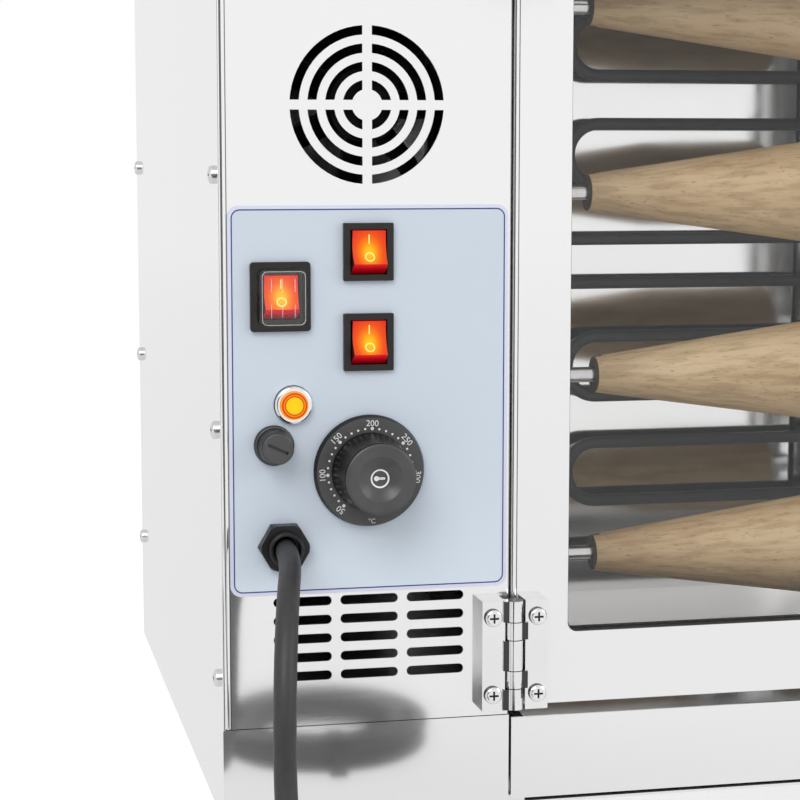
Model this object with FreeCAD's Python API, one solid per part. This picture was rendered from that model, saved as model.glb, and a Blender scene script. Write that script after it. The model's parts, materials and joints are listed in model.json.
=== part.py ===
"""Chimney cake oven: a table-top cabinet with two glass doors, eight turning wooden rollers,
two heating elements, a control panel on the left and a crumb drawer at the bottom.
Millimetres. +X to the right, +Y to the back, +Z up. The front faces -Y."""
import FreeCAD, Part
import math
import os

V = FreeCAD.Vector
RIGHT, LEFT = V(1, 0, 0), V(-1, 0, 0)
BACK, FORWARD = V(0, 1, 0), V(0, -1, 0)
UP = V(0, 0, 1)

# Cabinet
cabinet_width = 824.4
cabinet_depth = 380.0
body_height = 376.0
base_height = 42.0
foot_height = 22.0
control_width = 130.2
drive_width = 94.2
sheet = 1.2
flange = 25.0
short_flange = 12.0
joint_gap = 0.4
bend_radius = 1.6
sheet_edge_radius = 0.4

# Doors
door_thickness = 18.0
door_skin = 1.5
door_bend_radius = 2.0
door_gap = 0.7
door_meeting_gap = 1.5
door_bottom_gap = 4.4
door_top_gap = 4.0
door_stile = 26.7
door_rail = 32.6
window_corner = 4.5
glass_thickness = 4.0
glass_overlap = 8.0
gasket_lip = 2.0
gasket_width = 9.0
gasket_reveal = 0.6
glass_pocket_gap = 1.0
door_seat_gap = 1.0
handle_length = 180.0
handle_reach = 34.0
handle_bar_radius = 6.0
handle_post_radius = 5.0
handle_inset = 13.2

# Hinges
hinge_height = 50.0
hinge_leaf_thickness = 9.0
hinge_leaf_reach = 15.2
hinge_axis_reach = 7.0
knuckle_radius = 4.2
knuckle_gap = 0.5
knuckle_heights = (9.8, 8.2, 14.0, 8.2, 9.8)
knuckle_play = 0.4
hinge_pin_radius = 2.0
pin_clearance = 0.05
hinge_screw_offset = 10.3
hinge_screw_end = 7.4
hinge_end_gap = 0.2

# Rollers and their drive
row_count = 4
row_pitch = 88.0
lowest_row_height = 58.0
roller_depth = 75.0
shaft_radius = 3.75
bearing_clearance = 0.05
roller_clearance = 0.09
roller_start = 57.8
roller_rests = (4.4, 4.4, 0.0, 0.0)
roller_slide_room = 26.2
roller_small_radius = 8.8
roller_taper_share = 0.6
roller_middle_radius = 24.6
roller_large_radius = 26.0
roller_edge = 1.5
drive_pin_radius = 1.25
drive_pin_length = 14.0
drive_pin_depth = 2.2
pin_slot_clearance = 0.3
sprocket_teeth = 16
chain_pitch = 8.0
sprocket_thickness = 3.0
sprocket_hub_radius = 8.0
sprocket_offset = 14.0
chain_roller_radius = 2.5
chain_plate_height = 6.0
chain_width = 6.0
chain_clearance = 0.3
bush_radius = 8.0
bush_flange_radius = 11.0
bush_flange = 3.0
motor_offset = 22.0
gearbox_size = 66.0
gearbox_length = 40.0
motor_radius = 26.0
motor_length = 25.0
motor_row = 1
motor_post_radius = 2.5
motor_post_inset = 3.6
shaft_entry = 10.0

# Centre support
support_half_width = 29.0
support_plate = 2.0
support_front = 58.0
support_back = 96.0
shaft_end_reach = 5.0
seat_clearance = 0.09
seat_sill = 2.0

# Chamber
chamber_depth = 200.0
ceiling_drop = 14.8
lintel_drop = 24.0
chute_height = 11.0
chute_reach = 70.0

# Heating elements
element_radius = 3.25
element_setback = 13.0
element_middle_height = 195.0
element_first_half_gap = 11.8
element_drops = (29.0, 32.4, 25.6, 31.8, 28.2)
element_left_bend = 98.6
element_terminal = 18.0
element_hole_clearance = 0.1
bracket_width = 10.0
bracket_position = 220.6

# Control panel, measured from the panel's left edge and from the cabinet's floor line
label_thickness = 0.6
label_width = 124.6
label_shift = 0.9
label_height = 170.6
label_corner = 4.8
label_centre_up = 209.3
panel_column = 65.2
left_column = 26.4
fan_up = 337.7
fan_slot_outer_radius = 34.0
fan_slot_width = 4.0
fan_slot_pitch = 7.75
fan_slot_rings = 4
fan_spoke = 4.2
vent_columns = (35.75, 65.7, 95.75)
vent_length = 26.0
vent_height = 4.2
vent_pitch = 8.4
vent_rows = 5
vent_top_up = 120.5
drive_switch_ups = (274.4, 235.1)
power_switch_up = 255.4
drive_bezel = (22.1, 25.1)
drive_bezel_corner = 0.5
power_bezel = (26.3, 30.1)
power_bezel_corner = 1.6
bezel_lap = 1.2
bezel_thickness = 2.4
switch_body_depth = 26.0
rocker_width = 15.8
rocker_top_width = 14.8
rocker_drum_radius = 9.6
rocker_profile = ((9.5, 1.36), (7.6, 8.2), (4.0, 6.6), (0.0, 5.9))
rocker_pivot_depth = 4.8
rocker_back = 5.0
rocker_angle = 15.0
rocker_play = 0.25
rocker_pin_radius = 1.5
rocker_pin_length = 1.4
cover_reach = 9.0
cover_wall = 1.2
lamp_up = 208.2
lamp_column = 31.9
lamp_ring_radius = 8.3
lamp_ring_height = 3.0
lamp_lens_radius = 6.3
lamp_lens_height = 4.6
lamp_body_radius = 7.0
lamp_body_depth = 24.0
reset_below_lamp = 17.5
reset_column = 23.2
reset_cap_radius = 8.8
reset_flange_height = 3.0
reset_cone_radius = 7.8
reset_top_radius = 6.9
reset_cap_height = 13.0
reset_stand_off = 0.3
reset_stem_radius = 5.0
reset_stem_height = 6.0
coin_slot_length = 9.6
coin_slot_width = 1.3
coin_slot_depth = 1.6
coin_slot_angle = 25.0
knob_up = 178.5
knob_skirt_radius = 24.8
knob_skirt_height = 3.2
knob_body_radius = 17.3
knob_height = 26.5
knob_top_radius = 15.6
knob_stand_off = 2.2
knob_shaft_radius = 3.0
knob_shaft_reach = 16.0
knob_dish_radius = 9.8
knob_dish_depth = 3.2
thermostat_size = 34.0
thermostat_depth = 30.0
gland_up = 145.9
gland_column = 27.3
gland_across_flats = 20.0
gland_nut_height = 6.5
gland_sleeve_radius = 7.8
gland_sleeve_height = 4.0
gland_mouth_radius = 6.2
gland_mouth_depth = 6.0
gland_thread_radius = 8.0
gland_depth = 14.0
gland_lock_nut = 4.0

# Fan behind the grille
fan_size = 80.0
fan_thickness = 25.0
fan_bore_radius = 38.0
fan_hub_radius = 16.0
fan_blade_radius = 36.5
fan_blade_count = 7
fan_blade_angle = 35.0
fan_blade_thickness = 1.4
fan_strut = 4.0
fan_shaft_radius = 1.5
fan_rotor_length = 17.0
fan_rotor_cap = 2.0

# Crumb drawer
drawer_side_gap = 1.2
drawer_edge_gap = 1.5
drawer_tray_inset = 12.0
drawer_back_gap = 4.0
drawer_wall = 1.0
drawer_tray_height = 30.0
drawer_lip = 12.0
drawer_lip_width = 140.0
runner_height = 3.0
runner_width = 8.0

# Feet and screws
foot_radius = 16.0
foot_taper = 2.5
foot_inset = 42.0
foot_recess_radius = 7.0
foot_recess_depth = 12.0
screw_head_radius = 4.0
screw_head_height = 2.4
screw_radius = 2.0
screw_length = 8.0
screw_clearance = 0.05
screw_row_pitch = 111.4
screw_row_start = 20.9
screw_rows = 4
side_screw_inset = 13.0
rear_screw_columns = 3
rear_screw_inset = 30.0

# Power cord
cord_radius = 4.75
cord_bore_clearance = 0.3
cord_seat_depth = 4.0
cord_exit_reach = 23.0
cord_points = ((-8.2, 62.0, 130.2), (-13.1, 84.0, 99.2), (-13.6, 86.0, 55.2), (-13.1, 101.8, 27.2),
               (-12.1, 125.8, 6.2), (-11.1, 155.8, 0.0), (-10.1, 187.8, 0.0))
coil_turns_per_layer = 2
coil_last_turn = 4.0
coil_middle_radius = 48.2
coil_gap = 0.7
coil_tail = 34.0
plug_radius = 18.5
plug_length = 34.0
plug_neck_radius = 8.0
plug_neck_length = 22.0
plug_pin_radius = 2.4
plug_pin_length = 19.0
plug_pin_pitch = 19.0

# Places that follow from the sizes above
front_reach = handle_reach
rear_reach = screw_head_height
front = (front_reach - rear_reach - cabinet_depth) / 2
back = front + cabinet_depth
left = -cabinet_width / 2
right = cabinet_width / 2
base_bottom = foot_height
base_top = base_bottom + base_height
top = base_top + body_height
control_right = left + control_width
chamber_left = control_right
chamber_right = right - drive_width
chamber_middle = (chamber_left + chamber_right) / 2
roller_y = front + roller_depth
row_heights = [base_top + lowest_row_height + row_pitch * i for i in range(row_count)]
ceiling = top - ceiling_drop
liner_back = front + chamber_depth
door_left = control_right + door_gap
door_right = chamber_middle - door_meeting_gap / 2
door_bottom = base_top + door_bottom_gap
door_top = top - door_top_gap
hinge_x = control_right + door_gap / 2
hinge_y = front - hinge_axis_reach
panel_x = left + panel_column
left_column_x = left + left_column
panel_face = front - label_thickness
reset_up = lamp_up - reset_below_lamp
element_depth = chamber_depth - element_setback
drawer_depth = chamber_depth - drawer_back_gap
support_left = chamber_middle - support_half_width
roller_length = support_left - roller_slide_room - chamber_left - roller_start
roller_taper_length = roller_length * roller_taper_share
sprocket_pitch_radius = chain_pitch / (2 * math.sin(math.pi / sprocket_teeth))
sprocket_tip_radius = sprocket_pitch_radius + 0.25 * chain_pitch
seat_y = front + door_thickness + door_seat_gap


def box(x0, x1, y0, y1, z0, z1):
    """A box between two corners."""
    return Part.makeBox(x1 - x0, y1 - y0, z1 - z0, V(x0, y0, z0))


def rod(start, direction, radius, length):
    """A round bar."""
    return Part.makeCylinder(radius, length, start, direction)


def cone(start, direction, radius_1, radius_2, length):
    """A tapered round bar."""
    return Part.makeCone(radius_1, radius_2, length, start, direction)


def joined(shapes):
    """Shapes fused into one solid."""
    first, rest = shapes[0], shapes[1:]
    return first.fuse(rest).removeSplitter() if rest else first


def cut(shape, tools):
    """A shape without the tools' space."""
    return shape.cut(Part.makeCompound(tools)) if tools else shape


def group(shapes):
    """Separate solids kept in one node."""
    return Part.makeCompound(shapes)


def round_edges(shape, radius, chosen):
    """Fillets on the edges for which chosen(edge) is true."""
    edges = [e for e in shape.Edges if chosen(e)]
    return shape.makeFillet(radius, edges)


def along(edge, direction):
    """Whether a straight edge runs along a direction."""
    if not isinstance(edge.Curve, (Part.Line, Part.LineSegment)):
        return False
    ends = [v.Point for v in edge.Vertexes]
    run = ends[-1].sub(ends[0])
    return run.Length > 1e-6 and abs(abs(run.normalize().dot(direction)) - 1) < 1e-6


def rounded_box(x0, x1, y0, y1, z0, z1, radius, direction):
    """A box with rounded corners along one direction."""
    return round_edges(box(x0, x1, y0, y1, z0, z1), radius, lambda e: along(e, direction))


def mirrored(shape):
    """The same thing on the other side of the chamber's middle."""
    return shape.mirror(V(chamber_middle, 0, 0), RIGHT)


def prism(points, direction):
    """A solid pushed out from a closed outline of straight lines."""
    return Part.Face(Part.makePolygon(points + points[:1])).extrude(direction)


def ring_slot(centre, outer_radius, width, depth):
    """A ring cut for the fan grille, pointing to the back."""
    outer = rod(centre, BACK, outer_radius, depth)
    return outer.cut(rod(centre, BACK, outer_radius - width, depth))


def fan_cuts(y0, depth):
    """The grille's ring slots, parted by four spokes."""
    centre = V(panel_x, y0, fan_up)
    rings = [ring_slot(centre, fan_slot_outer_radius - fan_slot_pitch * i, fan_slot_width, depth)
             for i in range(fan_slot_rings)]
    reach = fan_slot_outer_radius + 1
    half = fan_spoke / 2
    upright = box(panel_x - half, panel_x + half, y0, y0 + depth, fan_up - reach, fan_up + reach)
    level = box(panel_x - reach, panel_x + reach, y0, y0 + depth, fan_up - half, fan_up + half)
    return [ring.cut([upright, level]) for ring in rings]


def stadium(x, z, length, height, y0, depth):
    """A slot with round ends that goes through a front sheet."""
    half = length / 2 - height / 2
    middle = box(x - half, x + half, y0, y0 + depth, z - height / 2, z + height / 2)
    ends = [rod(V(x + side * half, y0, z), BACK, height / 2, depth) for side in (-1, 1)]
    return joined([middle] + ends)


def vent_cuts(columns, y0, depth, first_up=vent_top_up, rows=vent_rows):
    """Rows of vent slots, from the top row down."""
    return [stadium(x, first_up - vent_pitch * row, vent_length, vent_height, y0, depth)
            for row in range(rows) for x in columns]


def switch_hole(x, z, bezel, y0, depth):
    """The hole that a rocker switch's body fills."""
    half_w, half_h = bezel[0] / 2 - bezel_lap, bezel[1] / 2 - bezel_lap
    return box(x - half_w, x + half_w, y0, y0 + depth, z - half_h, z + half_h)


def panel_holes(y0, depth):
    """Every hole that the label and the control front share."""
    holes = [switch_hole(panel_x, z, drive_bezel, y0, depth) for z in drive_switch_ups]
    holes.append(switch_hole(left_column_x, power_switch_up, power_bezel, y0, depth))
    holes.append(rod(V(left + lamp_column, y0, lamp_up), BACK, lamp_body_radius, depth))
    holes.append(rod(V(left + reset_column, y0, reset_up), BACK, reset_stem_radius, depth))
    holes.append(rod(V(panel_x, y0, knob_up), BACK, knob_shaft_radius + 1, depth))
    holes.append(rod(V(left + gland_column, y0, gland_up), BACK, gland_thread_radius, depth))
    return holes


def side_screw_places():
    """Y and Z of each side cover's screws."""
    heights = [base_top + screw_row_start + screw_row_pitch * i for i in range(screw_rows)]
    return [(y, z) for z in heights for y in (front + side_screw_inset, back - side_screw_inset)]


def rear_screw_places():
    """X and Z of the rear cover's screws, along its top and bottom edges."""
    reach = cabinet_width - 2 * rear_screw_inset
    columns = [left + rear_screw_inset + reach * i / (rear_screw_columns - 1)
               for i in range(rear_screw_columns)]
    rows = (base_top - short_flange / 2, top - sheet - short_flange / 2)
    return [(x, z) for z in rows for x in columns]


def screw_holes_x(side):
    """Holes for the side cover's screws."""
    start = left if side < 0 else right - 2 * sheet
    return [rod(V(start, y, z), RIGHT, screw_radius + screw_clearance, 2 * sheet)
            for y, z in side_screw_places()]


def screw_holes_y():
    """Holes for the rear cover's screws."""
    return [rod(V(x, back - 2 * sheet, z), BACK, screw_radius + screw_clearance, 2 * sheet)
            for x, z in rear_screw_places()]


def make_base_frame():
    """The lower box, open at the front for the drawer and on top under the chamber."""
    outer = box(left, right, front, back - sheet, base_bottom, base_top)
    inner = box(left + sheet, right - sheet, front + sheet, back - 2 * sheet,
                base_bottom + sheet, base_top - sheet)
    mouth = box(chamber_left, chamber_right, front - 1, front + sheet,
                base_bottom + sheet, base_top + 1)
    well = box(chamber_left, chamber_right, front - 1, liner_back - chute_reach / 2,
               base_top - sheet, base_top + 1)
    shell = outer.cut([inner, mouth, well])
    parts = [shell]
    for x in (chamber_left - sheet, chamber_right):
        parts.append(box(x, x + sheet, front + sheet, liner_back, base_bottom + sheet,
                         base_top - sheet))
    for x in (chamber_left, chamber_right - runner_width):
        parts.append(box(x, x + runner_width, front + sheet, liner_back, base_bottom + sheet,
                         base_bottom + sheet + runner_height))
    feet = [rod(V(x, y, base_bottom), UP, screw_radius + screw_clearance, sheet)
            for x, y in foot_places()]
    return cut(joined(parts), feet + screw_holes_y())


def make_side_cover(side):
    """One side sheet with a fold at the top and at the back."""
    x0 = left if side < 0 else right - sheet
    fold_0 = left + sheet if side < 0 else right - 2 * sheet
    plate = box(x0, x0 + sheet, front, back - sheet, base_top, top - sheet)
    plate = round_edges(plate, sheet_edge_radius, on_front_upright)
    reach = box(fold_0, fold_0 + sheet, front + flange + 2 * sheet, back - sheet - flange,
                base_top, base_top + short_flange)
    return cut(joined([plate, reach]), screw_holes_x(side))


def make_top_cover():
    """The lid sheet, with the lintel above the doors and a lip at the back."""
    plate = box(left, right, front, back - sheet, top - sheet, top)
    lintel = box(chamber_left + short_flange, chamber_right - short_flange, seat_y,
                 seat_y + sheet, top - lintel_drop, top - sheet)
    lip = box(left + 2 * sheet, right - 2 * sheet, back - 2 * sheet, back - sheet,
              top - sheet - short_flange, top - sheet)
    return cut(joined([plate, lintel, lip]), screw_holes_y())


def make_rear_cover():
    """The back sheet with folded sides and vent slots behind both bays."""
    plate = box(left, right, back - sheet, back, base_top - short_flange, top)
    folds = [box(x, x + sheet, back - flange, back - sheet, base_top + sheet, top - 2 * sheet)
             for x in (left + sheet, right - 2 * sheet)]
    inner = (left + control_width / 2, right - drive_width / 2)
    vents = vent_cuts(inner, back - sheet, sheet, first_up=fan_up, rows=2 * vent_rows)
    holes = screw_holes_y() + screw_holes_x(-1) + screw_holes_x(1)
    return cut(joined([plate] + folds), vents + holes)


def make_control_front():
    """The control panel's sheet, folded back at its sides and ends."""
    x0, x1 = left + sheet, control_right
    z0, z1 = base_top + joint_gap, top - sheet - joint_gap
    skin = box(x0, x1, front, front + sheet, z0, z1)
    left_fold = box(x0, x0 + sheet, front, front + flange, z0, z1)
    right_fold = box(x1 - sheet, x1, front, front + flange, z0, z1)
    ends = [box(x0, x1, front, front + short_flange, z, z + sheet) for z in (z0, z1 - sheet)]
    body = joined([skin, left_fold, right_fold] + ends)
    body = round_edges(body, bend_radius, lambda e: on_front_upright(e) and on_corner(e, x0, x1))
    columns = [left + x for x in vent_columns]
    holes = panel_holes(front - 1, 1 + sheet) + fan_cuts(front - 1, 1 + sheet)
    holes += vent_cuts(columns, front - 1, 1 + sheet)
    return cut(body, holes + screw_holes_x(-1))


def on_front_upright(edge):
    """Whether an edge is upright and lies in the front plane."""
    return along(edge, UP) and abs(edge.Vertexes[0].Point.y - front) < 1e-6


def on_corner(edge, x0, x1):
    """Whether an edge starts at one of two X places."""
    return min(abs(edge.Vertexes[0].Point.x - x) for x in (x0, x1)) < 1e-6


def make_right_front():
    """The plain front of the drive bay on the right."""
    x0, x1 = chamber_right, right - sheet
    z0, z1 = base_top + joint_gap, top - sheet - joint_gap
    skin = box(x0, x1, front, front + sheet, z0, z1)
    folds = [box(x, x + sheet, front, front + flange, z0, z1) for x in (x0, x1 - sheet)]
    ends = [box(x0, x1, front, front + short_flange, z, z + sheet) for z in (z0, z1 - sheet)]
    body = joined([skin] + folds + ends)
    body = round_edges(body, bend_radius, lambda e: on_front_upright(e) and on_corner(e, x0, x1))
    middle = [(x0 + x1) / 2]
    return cut(body, vent_cuts(middle, front - 1, 1 + sheet) + screw_holes_x(1))


def element_heights(direction):
    """Leg heights of one element, from the middle of the chamber outwards."""
    middle = base_top + element_middle_height
    heights = [middle + direction * element_first_half_gap]
    for drop in element_drops:
        heights.append(heights[-1] + direction * drop)
    return heights


def make_partitions():
    """The chamber's two side walls, with holes for the bearings and the elements' ends."""
    y0, y1 = seat_y, back - 2 * sheet
    wall = box(chamber_left, chamber_left + sheet, y0, y1, base_top, top - sheet)
    seat = box(chamber_left, chamber_left + short_flange, y0, y0 + sheet, base_top, top - sheet)
    wall = joined([wall, seat])
    bores = [rod(V(chamber_left - 1, roller_y, z), RIGHT, bush_radius, sheet + 2)
             for z in row_heights]
    terminals = []
    for direction in (-1, 1):
        heights = element_heights(direction)
        terminals += [rod(V(chamber_left - 1, front + element_depth, z), RIGHT,
                          element_radius + element_hole_clearance, sheet + 2)
                      for z in (heights[0], heights[-1])]
    return group([cut(wall, bores + terminals), mirrored(cut(wall, bores))])


def make_chamber_liner():
    """The bright back wall and ceiling, the crumb chute and the element brackets."""
    x0, x1 = chamber_left + sheet, chamber_right - sheet
    wall = box(x0, x1, liner_back, liner_back + sheet, base_top, ceiling + sheet)
    roof = box(x0, x1, seat_y + sheet, liner_back + sheet, ceiling, ceiling + sheet)
    chute_top = base_top + chute_height
    profile = [V(x0, liner_back, chute_top), V(x0, liner_back, chute_top - 2 * sheet),
               V(x0, liner_back - chute_reach, base_top), V(x0, liner_back - chute_reach, base_top + sheet)]
    chute = prism(profile, RIGHT * (x1 - x0))
    parts = [wall, roof, chute]
    rail_back = front + element_depth + element_radius
    for x in (chamber_left + bracket_position, chamber_right - bracket_position - bracket_width):
        z0 = element_heights(-1)[-1] - bracket_width
        z1 = element_heights(1)[-1] + element_radius
        parts.append(box(x, x + bracket_width, rail_back, rail_back + sheet, z0, z1))
        for z in (z0, z1 - sheet):
            parts.append(box(x, x + bracket_width, rail_back, liner_back, z, z + sheet))
    return joined(parts)


def make_centre_support():
    """The comb bracket that holds the shafts' inner ends in open slots."""
    x0, x1 = chamber_middle - support_half_width, chamber_middle + support_half_width
    y0, y1 = front + support_front, front + support_back
    z0, z1 = base_top - sheet, ceiling
    parts = [box(x, x + support_plate, y0, y1, z0, z1) for x in (x0, x1 - support_plate)]
    parts.append(box(x0, x1, y1 - support_plate, y1, z0, z1))
    parts.append(box(x0, x1, y1, liner_back - chute_reach / 2, z0, z0 + sheet))
    body = joined(parts)
    radius = shaft_radius + seat_clearance
    slots = []
    for z in row_heights:
        seat = rod(V(x0 - 1, roller_y, z), RIGHT, radius, 2 * support_half_width + 2)
        mouth = box(x0 - 1, x1 + 1, y0 - 1, roller_y, z - radius + seat_sill, z + radius + seat_sill)
        slots.append(seat.fuse(mouth))
    return cut(body, slots)


def foot_places():
    """Centres of the four feet."""
    return [(x, y) for x in (left + foot_inset, right - foot_inset)
            for y in (front + foot_inset, back - foot_inset)]


def make_feet():
    """Four rubber feet, each with a recess for its screw."""
    feet = []
    for x, y in foot_places():
        foot = cone(V(x, y, 0), UP, foot_radius - foot_taper, foot_radius, foot_height)
        recess = rod(V(x, y, 0), UP, foot_recess_radius, foot_recess_depth)
        hole = rod(V(x, y, 0), UP, screw_radius + screw_clearance, foot_height)
        feet.append(foot.cut([recess, hole]))
    return group(feet)


def pan_screw(place, direction, length=screw_length):
    """A pan-head cross screw; place is the middle of the head's seat."""
    head = rod(place, direction, screw_head_radius, screw_head_height)
    rim = [e for e in head.Edges if abs(e.CenterOfMass.sub(place).dot(direction)
                                        - screw_head_height) < 1e-6]
    head = head.makeFillet(screw_head_height * 0.6, rim)
    side = UP if abs(direction.z) < 0.5 else RIGHT
    other = direction.cross(side)
    tip = place + direction * screw_head_height
    slots = []
    for arm in (side, other):
        wide = direction.cross(arm)
        corner = tip - direction * screw_head_height * 0.5 - arm * 2.1 - wide * 0.45
        face = Part.makePolygon([corner, corner + arm * 4.2, corner + arm * 4.2 + wide * 0.9,
                                 corner + wide * 0.9, corner])
        slots.append(Part.Face(face).extrude(direction * screw_head_height))
    shank = rod(place - direction * length, direction, screw_radius, length)
    return joined([head, shank]).cut(slots)


def make_cabinet_screws():
    """The screws of the side covers, the rear cover and the feet."""
    screws = [pan_screw(V(left, y, z), LEFT) for y, z in side_screw_places()]
    screws += [pan_screw(V(right, y, z), RIGHT) for y, z in side_screw_places()]
    screws += [pan_screw(V(x, back, z), BACK) for x, z in rear_screw_places()]
    screws += [pan_screw(V(x, y, foot_recess_depth), V(0, 0, -1), foot_height - foot_recess_depth
                         + screw_length) for x, y in foot_places()]
    return group(screws)


def make_spindle_bearings():
    """A flanged bush in the partition for each shaft."""
    bushes = []
    for z in row_heights:
        start = V(chamber_left - bush_flange, roller_y, z)
        collar = rod(start, RIGHT, bush_flange_radius, bush_flange)
        sleeve = rod(start, RIGHT, bush_radius, bush_flange + 2 * sheet)
        bore = rod(start, RIGHT, shaft_radius + bearing_clearance, bush_flange + 2 * sheet)
        bush = joined([collar, sleeve]).cut(bore)
        bushes += [bush, mirrored(bush)]
    return group(bushes)


def make_drive_motors():
    """Two gear motors, each on four posts from its partition, outside the chain."""
    z = row_heights[motor_row]
    face = chamber_left - motor_offset
    half = gearbox_size / 2
    gearbox = box(face - gearbox_length, face, roller_y - half, roller_y + half, z - half, z + half)
    gearbox = round_edges(gearbox, 4.0, lambda e: along(e, RIGHT))
    can = rod(V(face - gearbox_length, roller_y, z), LEFT, motor_radius, motor_length)
    reach = half - motor_post_inset
    posts = [rod(V(face, roller_y + a * reach, z + b * reach), RIGHT, motor_post_radius, motor_offset)
             for a in (-1, 1) for b in (-1, 1)]
    bore = rod(V(face - shaft_entry - 1, roller_y, z), RIGHT, shaft_radius + bearing_clearance,
               shaft_entry + 2)
    motor = joined([gearbox, can] + posts).cut(bore)
    return group([motor, mirrored(motor)])


def chain_loop(radius, x0, x1):
    """The stadium outline of the chain's run, as a solid between two X planes."""
    z0, z1 = row_heights[0], row_heights[-1]
    ends = [rod(V(x0, roller_y, z), RIGHT, radius, x1 - x0) for z in (z0, z1)]
    middle = box(x0, x1, roller_y - radius, roller_y + radius, z0, z1)
    return joined([middle] + ends)


def make_drive_chains():
    """One chain on each side, its plates straddling the sprockets' teeth."""
    middle = chamber_left - sprocket_offset
    half = chain_width / 2
    pitch_r = sprocket_pitch_radius
    outer = chain_loop(pitch_r + chain_plate_height / 2 + chain_clearance, middle - half, middle + half)
    inner = chain_loop(pitch_r - chain_plate_height / 2, middle - half - 1, middle + half + 1)
    gap = sprocket_thickness / 2 + chain_clearance
    teeth = chain_loop(sprocket_tip_radius + chain_clearance, middle - gap, middle + gap)
    chain = outer.cut([inner, teeth])
    return group([chain, mirrored(chain)])


def make_spindle(row):
    """A left-hand shaft with its sprocket and its driving pin."""
    z = row_heights[row]
    start = chamber_left - motor_offset
    if row == motor_row:
        start -= shaft_entry
    else:
        start += knuckle_gap
    end = support_left + support_plate + shaft_end_reach
    shaft = rod(V(start, roller_y, z), RIGHT, shaft_radius, end - start)
    middle = chamber_left - sprocket_offset
    half = sprocket_thickness / 2
    disc = rod(V(middle - half, roller_y, z), RIGHT, sprocket_tip_radius, sprocket_thickness)
    gaps = []
    for tooth in range(sprocket_teeth):
        angle = 2 * math.pi * (tooth + 0.5) / sprocket_teeth
        y = roller_y + sprocket_pitch_radius * math.cos(angle)
        gaps.append(rod(V(middle - half, y, z + sprocket_pitch_radius * math.sin(angle)),
                        RIGHT, chain_roller_radius, sprocket_thickness))
    hub_start = middle - sprocket_thickness
    hub_length = chamber_left - bush_flange - knuckle_gap - hub_start
    hub = rod(V(hub_start, roller_y, z), RIGHT, sprocket_hub_radius, hub_length)
    pin_x = chamber_left + roller_start + roller_rests[row] + drive_pin_depth
    pin = rod(V(pin_x, roller_y, z - drive_pin_length / 2), UP, drive_pin_radius, drive_pin_length)
    return joined([shaft, cut(disc, gaps), hub, pin])


def make_roller(row):
    """A left-hand wooden cone with a through bore and a slot for the driving pin."""
    z = row_heights[row]
    x0 = chamber_left + roller_start + roller_rests[row]
    x1 = x0 + roller_taper_length
    x2 = x0 + roller_length
    outline = [V(x0, 0, 0), V(x0, 0, roller_small_radius), V(x1, 0, roller_middle_radius),
               V(x2 - roller_edge, 0, roller_large_radius),
               V(x2, 0, roller_large_radius - roller_edge), V(x2, 0, 0)]
    face = Part.Face(Part.makePolygon(outline + outline[:1]))
    body = face.revolve(V(0, 0, 0), RIGHT, 360)
    body.translate(V(0, roller_y, z))
    bore = rod(V(x0 - 1, roller_y, z), RIGHT, shaft_radius + roller_clearance, roller_length + 2)
    half = drive_pin_radius + pin_slot_clearance
    slot = box(x0 - 1, x0 + drive_pin_depth + half, roller_y - half, roller_y + half,
               z - roller_large_radius, z + roller_large_radius)
    return body.cut([bore, slot])


def tube_along(points, radius, bend):
    """A round tube through points in a plane, with equal bends at its corners."""
    edges = []
    start = points[0]
    for i in range(1, len(points) - 1):
        a = (points[i - 1] - points[i]).normalize()
        b = (points[i + 1] - points[i]).normalize()
        half_turn = (math.pi - a.getAngle(b)) / 2
        radius_here = bend(i) if callable(bend) else bend
        reach = radius_here * math.tan(half_turn)
        p, q = points[i] + a * reach, points[i] + b * reach
        inward = (a + b).normalize()
        centre = points[i] + inward * (radius_here / math.cos(half_turn))
        middle = centre - inward * radius_here
        if (p - start).Length > 1e-6:
            edges.append(Part.LineSegment(start, p).toShape())
        edges.append(Part.Arc(p, middle, q).toShape())
        start = q
    edges.append(Part.LineSegment(start, points[-1]).toShape())
    wire = Part.Wire(edges)
    first = (points[1] - points[0]).normalize()
    profile = Part.Wire([Part.Circle(points[0], first, radius).toShape()])
    shell = Part.BRepOffsetAPI.MakePipeShell(wire)
    shell.add(profile)
    shell.build()
    shell.makeSolid()
    return shell.shape(), wire.Length


def make_heating_element(direction):
    """A serpentine tube whose two ends pass through the left partition."""
    heights = element_heights(direction)
    y = front + element_depth
    x_end = chamber_left - element_terminal
    x_left = chamber_left + element_left_bend
    x_right = chamber_left + chamber_right - x_left
    edges = []
    for i, z in enumerate(heights):
        x0 = x_end if i == 0 else (x_left if i % 2 == 0 else x_right)
        x1 = x_end if i == len(heights) - 1 else (x_right if i % 2 == 0 else x_left)
        edges.append(Part.LineSegment(V(x0, y, z), V(x1, y, z)).toShape())
        if i < len(heights) - 1:
            turn = (heights[i + 1] - z) / 2
            bulge = abs(turn) if i % 2 == 0 else -abs(turn)
            edges.append(Part.Arc(V(x1, y, z), V(x1 + bulge, y, z + turn),
                                  V(x1, y, heights[i + 1])).toShape())
    wire = Part.Wire(edges)
    profile = Part.Wire([Part.Circle(V(x_end, y, heights[0]), RIGHT, element_radius).toShape()])
    shell = Part.BRepOffsetAPI.MakePipeShell(wire)
    shell.add(profile)
    shell.build()
    shell.makeSolid()
    return shell.shape()


def make_control_label():
    """The thin overlay on the control front."""
    half_w, half_h = label_width / 2, label_height / 2
    x, z = panel_x + label_shift, label_centre_up
    plate = rounded_box(x - half_w, x + half_w, panel_face, front, z - half_h, z + half_h,
                        label_corner, BACK)
    return cut(plate, panel_holes(panel_face - 1, label_thickness + 1))


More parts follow.
